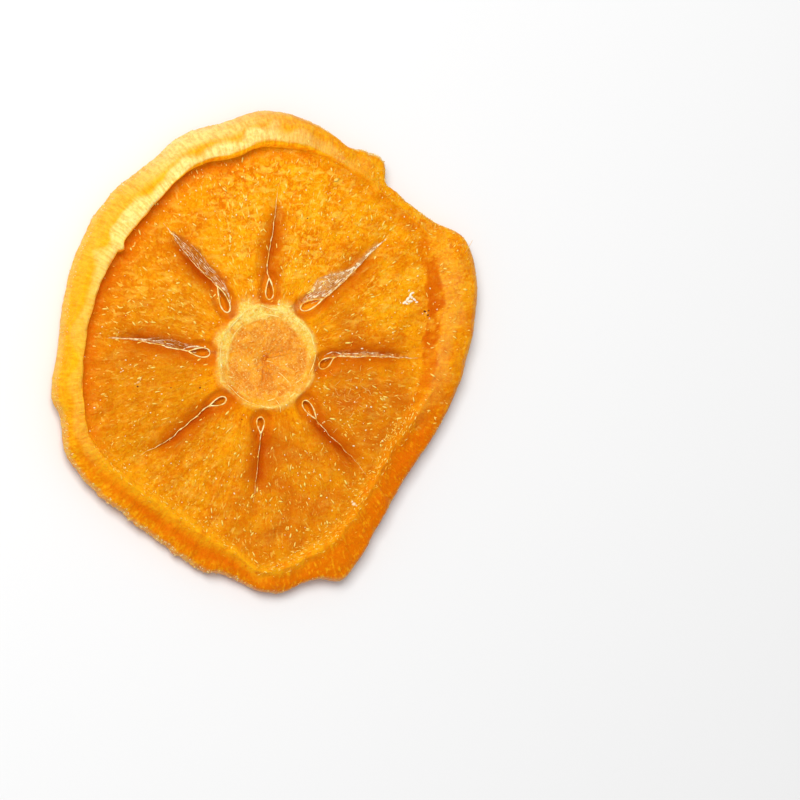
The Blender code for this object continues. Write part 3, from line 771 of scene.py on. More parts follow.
# The flesh: where it is browner, frosted with fine sugar, or golden
ripe = around(RIPE, angle) * step(place_radius, 0.0070, 0.0110)
masks["ripe"] = np.maximum(ripe, np.minimum(1, stained(TAN_STAINS))) * (1 - band)
masks["haze"] = around(HAZE, angle) * step(place_radius, 0.0080, 0.0100) * (1 - band)
golden = around(GOLDEN, angle) * step(place_radius, 0.0080, 0.0120) * (1 - band)
masks["golden"] = golden * (1 - flatness * (1 - step(inside_foot, 0.0, 0.0024)))

# The ring and the core: the ring's two lines, the pith between them, and its webs
line, disc = around(RING_LINE, angle), around(RING_INSIDE, angle)
fill = around(RING_FILL, angle)
between = step(place_radius, disc, disc + 0.0003) * (1 - step(place_radius, line, line + 0.0004))
broken = np.clip(0.80 + 1.6 * rough(x, y, 0.0011, 9), 0, 1)
cloudy = np.clip(0.82 + 0.8 * rough(x, y, 0.0010, 23) + 0.5 * rough(x, y, 0.0004, 30), 0, 1)
ring_lines = np.maximum(bump(place_radius - line, 0.00024), 0.8 * bump(place_radius - disc, 0.00014))
deepen("ring", ring_lines * (0.55 * broken + 0.45 * fill * cloudy))
deepen("ring", 0.95 * between * fill * cloudy)
for degrees, reach in RING_WEBS:
    aside = np.degrees(np.abs(np.angle(np.exp(1j * (angle - math.radians(degrees))))))
    web = bump(aside, 12) * step(place_radius, line - 0.0004, line)
    web = web * (1 - step(place_radius, line, line + reach))
    deepen("ring", web * (0.35 + 0.65 * fill) * (0.25 + 0.75 * cloudy))
masks["core"] = 1 - step(place_radius, disc - 0.0003, disc + 0.0001)
masks["middle"] = stained(CORE_STAINS)

# The seed pockets: the hollow itself, the moat round it painted darker as shade, the painted shade on the
# deeper side of the crease, the smooth flesh beside it with painted shade in its trough, and the strip of
# seed skin
for pocket in POCKETS:
    edge = np.where(top, *(loop_distance(x, y, teardrop(drop)) for drop in (pocket, drawn_in(pocket))))
    travelled, offset, gap = along_route(x, y, route_of(pocket))
    length, full = lengths_of(pocket)
    fade = 1 - step(travelled, 0.60 * full, full)
    deepen("inside", step(-edge, 0.00000, 0.00012))
    deepen("hollow", pocket.dark * (edge < 0.0002))
    # painted shade in the moat round each pocket
    deepen("brown", bump(edge - MOAT_REACH, 0.00050) * beside_pocket(pocket, travelled))
    # the smooth trough along the crease, which is also painted darker as shade
    deepen("smooth", bump(gap, 0.0015) * fade)
    uneven_side = offset * pocket.side + 0.0003 * rough(x, y, 0.0010, 32)
    deep_side = bump(np.maximum(0, uneven_side - 0.0002), 0.00085) * step(uneven_side, -0.0002, 0.0001)
    deep_side = np.maximum(deep_side, 0.72 * bump(uneven_side - 0.00030, 0.00150))
    beside_crease = step(travelled, 0.6 * length, 1.2 * length) * fade * (gap < 0.004)
    # painted shade on the deeper side of the crease
    deepen("dark", pocket.dark * deep_side * beside_crease)
    strip = skin_width(pocket, travelled / full)
    to_side = offset * pocket.skin_side + 0.0004 * rough(x, y, 0.0008, 31)
    covered = step(to_side, -0.0001, 0.0001) * (1 - step(to_side, 0.75 * strip, strip + 0.0003))
    covered = covered * (gap < strip + 0.0004) * (travelled < 0.9 * full) * (pocket.skin > 0)
    deepen("skin", covered)
    deepen("aged", pocket.aged * (covered > 0))
masks["ring"] = masks["ring"] * (1 - masks["inside"]) * (1 - 0.8 * masks["brown"])


def mark(mesh, name, values):
    """Stores one value for each vertex, which the material reads by its name."""
    mesh.attributes.new(name, "FLOAT", "POINT").data.foreach_set("value", np.asarray(values, np.float32))


flesh_mesh = bpy.data.meshes.new("dried_slice")
shape.to_mesh(flesh_mesh)
shape.free()
flesh_mesh.shade_smooth()
for name, values in masks.items():
    mark(flesh_mesh, name, values)
round_run = np.column_stack((RIM_OUTER * np.cos(angle), RIM_OUTER * np.sin(angle), place_radius - height))
for name, places in (("turned", round_run), ("spread", spread_out(x, y))):
    field = flesh_mesh.attributes.new(name, "FLOAT_VECTOR", "POINT")
    field.data.foreach_set("vector", places.astype(np.float32).ravel())


class Value:
    """A node's output; each sum, difference or product with it adds a Math node."""

    def __init__(self, finish, socket):
        self.finish = finish
        self.socket = socket

    def worked(self, operation, first, second):
        return self.finish.node("ShaderNodeMath", {"operation": operation}, {0: first, 1: second})

    def __add__(self, other):
        return self.worked("ADD", self, other)

    def __sub__(self, other):
        return self.worked("SUBTRACT", self, other)

    def __rsub__(self, other):
        return self.worked("SUBTRACT", other, self)

    def __mul__(self, other):
        return self.worked("MULTIPLY", self, other)

    __radd__ = __add__
    __rmul__ = __mul__


class Finish:
    """A material, made by adding nodes to its Principled shader."""

    def __init__(self, name, roughness, **constants):
        self.material = bpy.data.materials.new(name)
        self.material.use_nodes = True
        self.tree = self.material.node_tree
        self.shader = self.tree.nodes["Principled BSDF"]
        self.shader.inputs["Roughness"].default_value = roughness
        for socket, value in constants.items():
            self.shader.inputs[socket.replace("_", " ")].default_value = value

    def node(self, kind, settings, sockets, output=0):
        """Adds a node: its settings first, then the values or links of its sockets."""
        added = self.tree.nodes.new(kind)
        for name, value in settings.items():
            setattr(added, name, value)
        for key, value in sockets.items():
            if isinstance(value, Value):
                self.tree.links.new(value.socket, added.inputs[key])
            else:
                added.inputs[key].default_value = value
        return Value(self, added.outputs[output])

    def set(self, socket, value):
        self.tree.links.new(value.socket, self.shader.inputs[socket])

    def mask(self, name):
        return self.node("ShaderNodeAttribute", {"attribute_name": name}, {}, "Fac")

    def places(self, name=None):
        """Object coordinates, or the places stored under a name."""
        if name:
            return self.node("ShaderNodeAttribute", {"attribute_name": name}, {}, "Vector")
        return self.node("ShaderNodeTexCoord", {}, {}, "Object")

    def stretched(self, places, factors):
        return self.node("ShaderNodeVectorMath", {"operation": "MULTIPLY"}, {0: places, 1: factors})

    def noise(self, places, size, detail=2.0, distortion=0.0):
        sockets = {"Vector": places, "Scale": 1 / size, "Detail": detail, "Distortion": distortion}
        return self.node("ShaderNodeTexNoise", {}, sockets)

    def rise(self, value, low, high):
        """0 below low, 1 above high, with a smooth rise between."""
        sockets = {"Value": value, "From Min": low, "From Max": high}
        return self.node("ShaderNodeMapRange", {"interpolation_type": "SMOOTHSTEP"}, sockets)

    def mix(self, share, first, second):
        return self.node("ShaderNodeMix", {"data_type": "RGBA"}, {0: share, 6: first, 7: second}, 2)

    def bumped(self, height, depth, onto=None):
        sockets = {"Height": height, "Distance": depth, "Strength": 1.0}
        if onto:
            sockets["Normal"] = onto
        return self.node("ShaderNodeBump", {}, sockets)


def tint(red, green, blue):
    """A colour given as it looks on a screen, 0 to 255, as the shader's own values."""
    def linear(part):
        part = part / 255
        return part / 12.92 if part <= 0.04045 else ((part + 0.055) / 1.055) ** 2.4
    return (linear(red), linear(green), linear(blue), 1.0)


FLESH = tint(252, 166, 4)
FLESH_HONEY = tint(234, 130, 0)
FLESH_DEEP_AND_SHADE = tint(218, 106, 0)
FLESH_TAN = tint(200, 106, 20)
FLESH_PEACH = tint(255, 186, 28)
FLESH_WISP = tint(255, 206, 74)
FLESH_GOLD = tint(226, 140, 2)
FLECK_CREAM = tint(255, 216, 92)
RIM_YELLOW = tint(255, 190, 24)
RIM_AMBER = tint(250, 160, 4)
RIM_SHADE_ORANGE = tint(222, 106, 0)
RIDGE_YELLOW = tint(255, 174, 20)
CREST_YELLOW = tint(255, 235, 148)
FOOT_SHADE_ORANGE = tint(215, 96, 0)
PAINTED_GLOW_DEEP = tint(232, 116, 0)
PAINTED_GLOW_ORANGE = tint(255, 178, 16)
POCKET_ORANGE = tint(226, 130, 8)
POCKET_YELLOW = tint(255, 172, 24)
CREASE_SHADE_ORANGE = tint(182, 66, 0)
MOAT_SHADE_ORANGE = tint(206, 92, 4)
SKIN_BROWN = tint(184, 98, 26)
SKIN_TAN = tint(234, 164, 84)
RING_CREAM = tint(255, 236, 146)
RING_YELLOW = tint(255, 222, 88)
CORE_LIGHT = tint(255, 210, 104)
CORE_ORANGE = tint(250, 160, 22)
CORE_DEEP = tint(226, 120, 2)
CORE_BROWN = tint(200, 94, 12)
NO_LIGHT = tint(0, 0, 0)

# The flesh's emission only lights its painted glow at the rim's inner wall
flesh = Finish(
    "dried_flesh", 0.34,
    Subsurface_Weight=0.40, Subsurface_Radius=(1.0, 0.45, 0.10), Subsurface_Scale=0.0010,
    Specular_IOR_Level=0.15, Specular_Tint=(1.0, 0.62, 0.12, 1.0), Emission_Strength=0.40,
)
mask, mix, rise = flesh.mask, flesh.mix, flesh.rise
spot, turned_spot, spread_spot = flesh.places(), flesh.places("turned"), flesh.places("spread")
mottle = rise(flesh.noise(spot, 0.0036, 3.0, 0.4), 0.36, 0.66)
smear = flesh.noise(spread_spot, 0.00040, 3.0, 0.9)
grain = flesh.noise(spot, 0.00046, 4.0, 0.9)
speckle = flesh.noise(spot, 0.00022, 2.0, 0.8)
pith = flesh.noise(spot, 0.00036, 3.0)
wisp = flesh.noise(flesh.stretched(spot, (0.60, 1.3, 1.0)), 0.0010, 4.0, 0.7)
fleck = rise(flesh.noise(spread_spot, 0.00028, 1.0, 0.8), 0.62, 0.74)
striae = flesh.noise(flesh.stretched(turned_spot, (1.0, 1.0, 0.16)), 0.00034, 3.0, 0.3)
cloud = flesh.noise(turned_spot, 0.0020, 3.0, 0.8)
pulp = 0.35 * smear + 0.65 * grain
rough_part = 1.0 - 0.8 * mask("smooth")

core_colour = mix(rise(flesh.noise(spot, 0.0017, 3.0, 0.8), 0.36, 0.66), CORE_DEEP, CORE_ORANGE)
core_colour = mix(rise(0.4 * speckle + 0.6 * grain, 0.30, 0.78) * 0.60, core_colour, CORE_LIGHT)
core_colour = mix(rise(speckle, 0.58, 0.72) * 0.6, core_colour, RING_CREAM)
# The rim's painted light and shade tip its colour between a painted shaded orange, its amber and its yellow
rim_pale_and_lit = 0.7 * mask("wall") + 2.4 * striae + 1.6 * grain + 0.8 * cloud - 2.55
rim_colour = mix(rim_pale_and_lit, mix(mask("wall"), RIM_SHADE_ORANGE, RIM_AMBER), RIM_YELLOW)
# the painted glow's colours
painted_lit_wall = mix(rise(0.6 * striae + 0.4 * grain, 0.32, 0.62), PAINTED_GLOW_DEEP, PAINTED_GLOW_ORANGE)
skin_colour = mix(rise(grain - 0.3 * mask("aged"), 0.28, 0.50), SKIN_BROWN, SKIN_TAN)
crest_part = 0.42 + 0.58 * rise(0.6 * pith + 0.5 * cloud + 0.8 * striae, 0.72, 1.12)

# The colours in the order in which they are laid over one another: share, colour
colour = mix(mottle, FLESH, FLESH_HONEY)
for part, laid_over in (
    (mask("golden") * 0.8, FLESH_GOLD),
    # painted shade: darker where the pulp's bump relief is lowest
    (rise(0.5 - pulp, -0.02, 0.14) * (0.58 - 0.26 * mask("haze")), FLESH_DEEP_AND_SHADE),
    (rise(pulp, 0.46, 0.62) * (0.26 + 0.60 * mask("haze")) * rough_part, FLESH_PEACH),
    (mask("ripe") * (0.62 + 0.4 * mottle), mix(grain, FLESH_DEEP_AND_SHADE, FLESH_TAN)),
    # painted shade in the trough along each crease
    (mask("smooth") * 0.6, FLESH_DEEP_AND_SHADE),
    (rise(wisp, 0.48, 0.72) * mask("haze") * rough_part * 0.75, FLESH_WISP),
    (fleck * rough_part * (0.30 + 0.50 * mask("haze")), FLECK_CREAM),
    (mask("core"), core_colour),
    (mask("on_rim"), rim_colour),
    # painted shade in the flat rim's groove
    (mask("groove") * 0.95, RIM_SHADE_ORANGE),
    (mask("ridge") * rise(grain, 0.18, 0.46), RIDGE_YELLOW),
    # pale crest, partly painted highlight
    (mask("pale") * crest_part, CREST_YELLOW),
    # painted shade at the foot of the rim's inner wall
    (mask("shade") * 0.92, FOOT_SHADE_ORANGE),
    # painted glow on the rim's inner wall
    (mask("glow") * 0.9, painted_lit_wall),
    # painted shade on the deeper side of each crease
    (mask("dark") * 0.92, CREASE_SHADE_ORANGE),
    (mask("skin") * 0.85, skin_colour),
    # painted shade in the moats round the pockets
    (mask("brown") * 0.60, MOAT_SHADE_ORANGE),
    (mask("ring") * 0.75, RING_YELLOW),
    (mask("ring") * rise(0.7 * pith + 0.7 * speckle, 0.52, 0.90), RING_CREAM),
    (mask("middle") * rise(grain, 0.34, 0.56), CORE_BROWN),
    (mask("inside"), mix(rise(mask("hollow"), 0.6, 0.8), POCKET_YELLOW, POCKET_ORANGE)),
):
    colour = mix(part, colour, laid_over)
flesh.set("Base Color", colour)
# painted glow: emission on the rim's inner wall and foot, though they are no lamp
flesh.set("Emission Color", mix(mask("glow"), NO_LIGHT, painted_lit_wall))
flesh.set("Roughness", 0.20 + 0.26 * grain + 0.06 * mask("on_rim"))
fine = flesh.bumped(speckle + mask("on_rim") * striae, 0.00007)
lumps = smear * (1.0 - mask("core")) * 0.35 + grain * 0.65
flesh.set("Normal", flesh.bumped(lumps * rough_part, 0.00022, fine))


def piece(name, mesh, finish):
    """A finished piece of the slice, with its place in its mesh."""
    mesh.name = name
    made = bpy.data.objects.new(name, mesh)
    bpy.context.collection.objects.link(made)
    mesh.materials.append(finish.material)
    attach(made, "root")
    return made


dried_slice = piece("dried_slice", flesh_mesh, flesh)
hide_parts("persimmon_slice")

# The lips of the seed pockets: where a seed was cut out, the edge of its papery lining has dried into a
# thin pale rim that stands round the hole. One closed thread of lining for each pocket.
LIP_SIDES = 44
LIP_RADIUS = 0.00008
LIP_UNEVEN = 0.9
LIP_BEAD = 0.0005
LIP_STAND = 0.00003
LIP_GAP = 0.00010
RAY_START = 0.020

corners = np.array([vert.co for vert in flesh_mesh.vertices])
sides = [tuple(face.vertices) for face in flesh_mesh.polygons]
surface = BVHTree.FromPolygons(corners.tolist(), sides)


def on_flesh(x, y):
    """The place on the slice's top above a point given about the core, its normal and its face."""
    return surface.ray_cast(Vector((x + CORE[0], y + CORE[1], RAY_START)), Vector((0, 0, -1)))[:3]


def threads(runs, closed=False):
    """A mesh of round threads, one for each run of (x, y, z, radius) points."""
    curve = bpy.data.curves.new("threads", "CURVE")
    curve.dimensions = "3D"
    curve.bevel_depth = 1.0
    curve.bevel_resolution = 1
    curve.use_fill_caps = not closed
    for run in runs:
        spline = curve.splines.new("POLY")
        spline.points.add(len(run) - 1)
        spline.use_cyclic_u = closed
        for point, (x, y, z, radius) in zip(spline.points, run):
            point.co = (x, y, z, 1)
            point.radius = radius
    bundle = bpy.data.objects.new("threads", curve)
    bpy.context.collection.objects.link(bundle)
    graph = bpy.context.evaluated_depsgraph_get()
    mesh = bpy.data.meshes.new_from_object(bundle.evaluated_get(graph))
    bpy.data.objects.remove(bundle)
    shape = bmesh.new()
    shape.from_mesh(mesh)
    bmesh.ops.remove_doubles(shape, verts=shape.verts, dist=WELD)
    bmesh.ops.recalc_face_normals(shape, faces=shape.faces)
    shape.to_mesh(mesh)
    shape.free()
    mesh.shade_smooth()
    return mesh


def patched(finish, size, low, high, dark, light):
    """Gives a finish two tints in patches of a size."""
    patches = finish.rise(finish.noise(finish.places(), size), low, high)
    finish.set("Base Color", finish.mix(patches, dark, light))


lip_runs = []
for number, pocket in enumerate(POCKETS):
    loop = teardrop(pocket, LIP_SIDES)
    centre = loop.mean(axis=0)
    run = []
    for x, y in loop:
        away = (np.array((x, y)) - centre) / math.dist((x, y), centre)
        beside, _, _ = on_flesh(x + LIP_GAP * away[0], y + LIP_GAP * away[1])
        uneven = 1 + LIP_UNEVEN * noise.noise((x / LIP_BEAD, y / LIP_BEAD, number))
        run.append((x + CORE[0], y + CORE[1], beside.z + LIP_STAND, LIP_RADIUS * uneven))
    lip_runs.append(run)
lining = Finish("dried_lining", 0.38, Specular_IOR_Level=0.2)
patched(lining, 0.0007, 0.38, 0.62, tint(248, 190, 72), tint(255, 238, 168))
piece("pocket_lips", threads(lip_runs, closed=True), lining)

# The threads of the creases: the lining of each seed pocket runs on to the edge of the core's chamber,
# where it has dried into a fine pale thread along the bottom of the crease.
THREAD_RADIUS = 0.00009
THREAD_WOBBLE = 0.00016
THREAD_STEP = 0.00018
THREAD_START = 3
DRIFT_LENGTH = 0.0011
BEAD_LENGTH = 0.00045
THINNEST = 0.00002
DRIFT_SEED = 7

# Without a seed of its own the noise that a thread drifts with would differ from run to run
noise.seed_set(DRIFT_SEED)


def draped(route, thickness, wobble, number, ends=(0.15, 0.15), fade=0.3, sink=0.1):
    """Points of a thread that lies over the flesh along a route and grows thinner at its ends."""
    lengths = np.hypot(*np.diff(route, axis=0).T)
    travelled = np.concatenate(([0], np.cumsum(lengths)))
    count = max(4, int(travelled[-1] / THREAD_STEP))
    run = []
    for way in np.linspace(0, travelled[-1], count):
        x, y = (np.interp(way, travelled, part) for part in np.transpose(route))
        share = way / travelled[-1]
        drift = noise.noise_vector((way / DRIFT_LENGTH, number, 0)) * float(wobble * min(1, 6 * share))
        beads = max(0.3, 1 + 1.5 * noise.noise((way / BEAD_LENGTH, number, 5)))
        thin = ends[0] + (1 - ends[0]) * min(1, share / fade)
        thin = thin * (ends[1] + (1 - ends[1]) * min(1, (1 - share) / fade) ** 0.6)
        place, _, _ = on_flesh(x + drift.x, y + drift.y)
        radius = max(thickness * beads * thin, THINNEST)
        run.append((place.x, place.y, place.z - sink * radius, radius))
    return run


thread_runs = []
for number, pocket in enumerate(POCKETS):
    thickness = THREAD_RADIUS * (0.45 + 0.55 * pocket.pale)
    route = route_of(pocket)[THREAD_START:]
    thread_runs.append(draped(route, thickness, THREAD_WOBBLE, number, ends=(1.0, 0.05), fade=1.0))
piece("crease_threads", threads(thread_runs), lining)

# The seed skins: beside four of the creases a strip of the seed's brown papery skin has stuck to the flesh
# and dried. Its fibres stand out as fine whitish strands that run along the crease.
STRAND_RADIUS = 0.00005
STRAND_GAP = 0.00019
STRAND_WOBBLE = 0.00016
NARROW_SKIN = 0.001

# Where the strands start, how long they are, how they break off and where they end, as shares of the way
# out; on a narrow or a brown strip they start later
STRAND_START = (0.04, 0.14)
STRAND_RUN = (0.14, 0.36)
STRAND_BREAK = (-0.04, 0.06)
STRAND_END = 0.95
LAST_START = 0.88
LATER = 0.10

draw = np.random.default_rng(5)
strand_runs = []
for pocket in POCKETS:
    route = route_of(pocket)
    along = np.gradient(route, axis=0)
    left = np.column_stack((-along[:, 1], along[:, 0])) / np.hypot(*along.T)[:, None]
    travelled = np.concatenate(([0], np.cumsum(np.hypot(*np.diff(route, axis=0).T))))
    way = travelled / travelled[-1]
    clear = 0.62 * pocket.width * np.sin(math.pi * np.clip(4 * way, 0, 1)) ** 0.6
    for offset in np.arange(0, pocket.skin, STRAND_GAP):
        aside = np.maximum(clear, offset / pocket.skin * skin_width(pocket, way))
        beside = route + left * (pocket.skin_side * aside)[:, None]
        start = draw.uniform(*STRAND_START) + LATER * (pocket.skin < NARROW_SKIN)
        while start < LAST_START - 0.30 * offset / pocket.skin:
            end = min(STRAND_END, start + draw.uniform(*STRAND_RUN))
            first = int(start * len(route))
            last = max(first + 3, int(end * len(route)) + 1)
            thickness = STRAND_RADIUS * draw.uniform(0.5, 1.1) * (1 - 0.3 * pocket.aged)
            strand_runs.append(draped(beside[first:last], thickness, STRAND_WOBBLE, draw.uniform(0, 99)))
            start = end + draw.uniform(*STRAND_BREAK) + LATER * pocket.aged
skin = Finish("dried_seed_skin", 0.30, Coat_Weight=0.2, Coat_Roughness=0.12)
patched(skin, 0.0005, 0.42, 0.58, tint(208, 142, 72), tint(255, 238, 198))
piece("seed_skins", threads(strand_runs), skin)

# The lines of the ring: the ring round the core is made of strings of paler, drier flesh, and the finest of
# them stand out. Some lie round the ring, some run on between the seed pockets, and a few lie in the core.
# Each is a run of points in millimetres about the core, after its thickness.
RING_STRINGS = (
    (0.09, (-5.24, 3.36), (-4.22, 4.75), (-2.38, 6.48)),
    (0.06, (-2.47, 6.65), (-2.30, 7.30), (-2.19, 7.87)),
    (0.07, (-1.09, 7.00), (0.76, 6.55), (2.97, 5.96)),
    (0.07, (-0.40, 5.80), (0.90, 5.62), (2.20, 5.25)),
    (0.09, (3.71, 5.27), (4.80, 4.60), (5.73, 3.88)),
    (0.09, (5.73, 3.88), (6.29, 3.02), (6.69, 1.46)),
    (0.06, (6.75, 1.11), (6.62, -0.60), (5.92, -2.18)),
    (0.05, (5.92, 0.76), (6.05, 0.30), (6.01, -0.10)),
    (0.06, (5.00, -2.53), (4.60, -2.90), (4.08, -3.22)),
    (0.07, (4.08, -4.44), (3.70, -4.75), (3.34, -4.96)),
    (0.07, (0.30, -5.48), (0.80, -5.38), (1.31, -5.22)),
    (0.08, (-0.72, -6.08), (0.11, -6.26), (1.03, -6.43)),
    (0.06, (1.50, -5.40), (1.90, -6.10), (2.10, -7.00)),
    (0.05, (-5.88, -2.88), (-4.59, -3.92), (-3.49, -4.96), (-2.38, -5.56), (-1.20, -6.00)),
    (0.06, (-5.33, -2.36), (-4.80, -2.42), (-4.22, -2.53)),
    (0.07, (-6.07, 2.32), (-6.25, 0.59), (-6.16, -0.80), (-5.80, -2.00)),
    (0.05, (-5.14, 0.94), (-5.25, 0.30), (-5.24, -0.45)),
    (0.05, (-4.60, 2.60), (-3.90, 3.60), (-3.00, 4.40)),
    (0.06, (0.30, -0.28), (0.75, -0.42), (1.22, -0.45)),
    (0.05, (-1.64, -0.28), (-1.18, -0.02), (-0.90, -0.80)),
    (0.05, (1.60, -1.60), (2.60, -2.40), (3.40, -3.30)),
)
STRING_WOBBLE = 0.00012
STRING_STEPS = 6
FIRST_STRING = 40
MILLIMETRE = 0.001

string_runs = []
for number, (thickness, *points) in enumerate(RING_STRINGS, FIRST_STRING):
    route = smooth_run(np.array(points) * MILLIMETRE, STRING_STEPS)
    string_runs.append(draped(route, thickness * MILLIMETRE, STRING_WOBBLE, number, sink=0.5))
string = Finish("dried_string", 0.36, Specular_IOR_Level=0.2, Base_Color=tint(255, 232, 140))
piece("ring_strings", threads(string_runs), string)

# The pulp fibres: short pale fibres and veins of dried sugar that stand out all over the sunken flesh. They
# run outwards from the core, and along the rough inner ridge of the rim.
FIBRE_COUNT = 1350
RIDGE_STRETCHES = ((206, 262, 110), (268, 345, 330))
FIBRE_LENGTH = (0.00010, 0.00034)
FIBRE_WIDTH = (0.00004, 0.00008)
FIBRE_HEIGHT = 0.00005
FIBRE_SPREAD = 0.50
FIBRES_FROM = 0.0074
FIBRE_PATCH = 0.0024
FIBRE_SWAY = 0.004
FIBRES = (
    (0, 0.5), (20, 0.8), (50, 0.8), (75, 1.0), (100, 0.9), (130, 0.8), (160, 0.8), (190, 0.6), (220, 0.6),
    (250, 0.7), (280, 0.8), (310, 0.7), (335, 0.6),
)

# The largest of them, in millimetres about the core: place, half length, half width, heading in degrees,
# tone
BIG_FIBRES = (
    (8.6, -3.9, 0.58, 0.09, -22, 0.95), (18.7, -7.8, 0.52, 0.13, 5, 0.8), (5.5, -16.4, 0.32, 0.13, -80, 0.9),
    (6.1, -14.9, 0.20, 0.12, 0, 1.0), (10.4, -8.0, 0.20, 0.12, 30, 1.0), (-5.0, -9.3, 0.95, 0.07, 45, 0.6),
    (-13.6, -7.8, 0.75, 0.07, 15, 0.6), (-14.6, -4.3, 0.50, 0.08, 10, 0.8), (16.5, 17.7, 0.33, 0.10, 70, 0.9),
    (6.3, 12.5, 0.50, 0.09, 70, 0.75), (-4.7, 15.8, 0.40, 0.09, -55, 0.9), (4.8, 13.6, 0.33, 0.10, 45, 0.9),
    (-3.1, 23.6, 0.20, 0.15, 0, 1.0), (-0.4, 23.6, 0.20, 0.15, 0, 1.0), (9.9, 23.4, 0.50, 0.28, 20, 0.5),
    (11.8, 13.1, 0.35, 0.22, 60, 0.8), (-6.8, 8.2, 0.35, 0.09, 45, 0.9), (-6.4, 7.8, 0.25, 0.08, 45, 0.9),
    (16.7, -5.0, 0.45, 0.12, -15, 0.7), (7.8, -17.9, 0.22, 0.16, 20, 1.0), (14.6, -0.1, 0.16, 0.14, 0, 1.0),
)

draw = np.random.default_rng(11)
smooth_at = flesh_mesh.attributes["smooth"].data
inside_at = flesh_mesh.attributes["inside"].data


def at_bearing(curve, bearing):
    """What a table round the slice, or a function of angles, gives at one bearing."""
    here = np.array([bearing])
    return float((curve(here) if callable(curve) else around(curve, here))[0])


def flesh_at(reach, bearing):
    """The place, normal and face of the slice's top at a reach and a bearing from the core."""
    return on_flesh(reach * math.cos(bearing), reach * math.sin(bearing))


def scattered(placements, subdivisions=1):
    """One mesh of many small rounded bodies; each placement is (matrix, tone)."""
    seed = bmesh.new()
    bmesh.ops.create_icosphere(seed, subdivisions=subdivisions, radius=1.0)
    corners = np.array([(*vert.co, 1.0) for vert in seed.verts])
    faces = np.array([[vert.index for vert in face.verts] for face in seed.faces])
    seed.free()
    matrices = np.array([np.array(matrix) for matrix, _ in placements])
    places = np.einsum("nij,kj->nki", matrices, corners)[:, :, :3].reshape(-1, 3)
    starts = np.arange(len(placements)) * len(corners)
    mesh = bpy.data.meshes.new("scattered")
    mesh.from_pydata(places.tolist(), [], (faces + starts[:, None, None]).reshape(-1, 3).tolist())
    mesh.shade_smooth()
    mark(mesh, "tone", np.repeat([tone for _, tone in placements], len(corners)))
    return mesh


def laid(place, normal, heading, length, width, height):
    """The matrix that lays a small body of half sizes on the flesh, pointing along a heading."""
    along = Vector((math.cos(heading), math.sin(heading), 0))
    along = (along - normal * along.dot(normal)).normalized()
    across = normal.cross(along)
    sized = Matrix((along * length, across * width, normal * height)).transposed().to_4x4()
    return Matrix.Translation(place) @ sized


def toned(finish, dark, light):
    """Gives each body of a finish its own tint, from dark to light by its tone."""
    finish.set("Base Color", finish.mix(finish.mask("tone"), dark, light))


fibres = []
while len(fibres) < FIBRE_COUNT:
    bearing = draw.uniform(0, math.tau)
    reach = at_bearing(slice_edge, bearing) * math.sqrt(draw.uniform(0, 0.96))
    if reach < FIBRES_FROM:
        continue
    if reach > at_bearing(RIM_FOOT, bearing) and draw.random() > at_bearing(FLESH_LIKE, bearing):
        continue
    place, normal, face = flesh_at(reach, bearing)
    corner = sides[face][0]
    clear = (1 - 0.85 * smooth_at[corner].value) * (1 - inside_at[corner].value)
    patchy = 0.70 + 1.2 * noise.noise((place.x / FIBRE_PATCH, place.y / FIBRE_PATCH, 2))
    if draw.uniform() > clear * patchy * at_bearing(FIBRES, bearing):
        continue
    sway = 0.8 * noise.noise((place.x / FIBRE_SWAY, place.y / FIBRE_SWAY, 7))
    heading = bearing + draw.normal(0, FIBRE_SPREAD) + sway
    tone = draw.random() ** 2
    length = draw.uniform(*FIBRE_LENGTH) * (0.7 + 0.9 * tone)
    width = draw.uniform(*FIBRE_WIDTH) * (0.8 + 1.0 * tone)
    fibres.append((laid(place, normal, heading, length, width, FIBRE_HEIGHT), tone))
for start, end, count in RIDGE_STRETCHES:
    for bearing in np.radians(draw.uniform(start, end, count)):
        reach = at_bearing(rim_foot, bearing) + draw.normal(-0.0002, 0.0007)
        place, normal, _ = flesh_at(reach, bearing)
        heading = bearing + math.pi / 2 + draw.normal(0, 0.40)
        length, width = draw.uniform(*FIBRE_LENGTH), draw.uniform(*FIBRE_WIDTH)
        fibres.append((laid(place, normal, heading, length, width, FIBRE_HEIGHT), draw.random() ** 2))
for x, y, length, width, heading, tone in BIG_FIBRES:
    place, normal, _ = on_flesh(x * MILLIMETRE, y * MILLIMETRE)
    size = (length * MILLIMETRE, width * MILLIMETRE, 1.2 * FIBRE_HEIGHT)
    fibres.append((laid(place, normal, math.radians(heading), *size), tone))
fibre = Finish("pulp_fibre", 0.30, Coat_Weight=0.1, Coat_Roughness=0.12, Specular_IOR_Level=0.3)
toned(fibre, tint(255, 180, 30), tint(255, 232, 120))
piece("pulp_fibres", scattered(fibres), fibre)

# The fringe of the rim: where the skin was pared off, torn ends of flesh stand out from the edge of the
# slice and have dried to short pale tufts. They are thickest on the lower left, and finest on the right.
TUFT_STRETCHES = (
    # from, to (degrees), number, half length, paleness
    (198, 266, 130, 0.00026, 1.00),
    (100, 160, 220, 0.00016, 0.80),
    (160, 198, 110, 0.00014, 0.60),
    (53, 62, 60, 0.00026, 0.90),
    (62, 92, 60, 0.00014, 0.50),
    (266, 350, 130, 0.00012, 0.50),
    (-10, 50, 130, 0.00012, 0.80),
)
TUFT_WIDTH = (0.00004, 0.00009)
TUFT_HEIGHT = 0.00005
TUFT_DEPTH = 0.00045
CLUMPS = 40

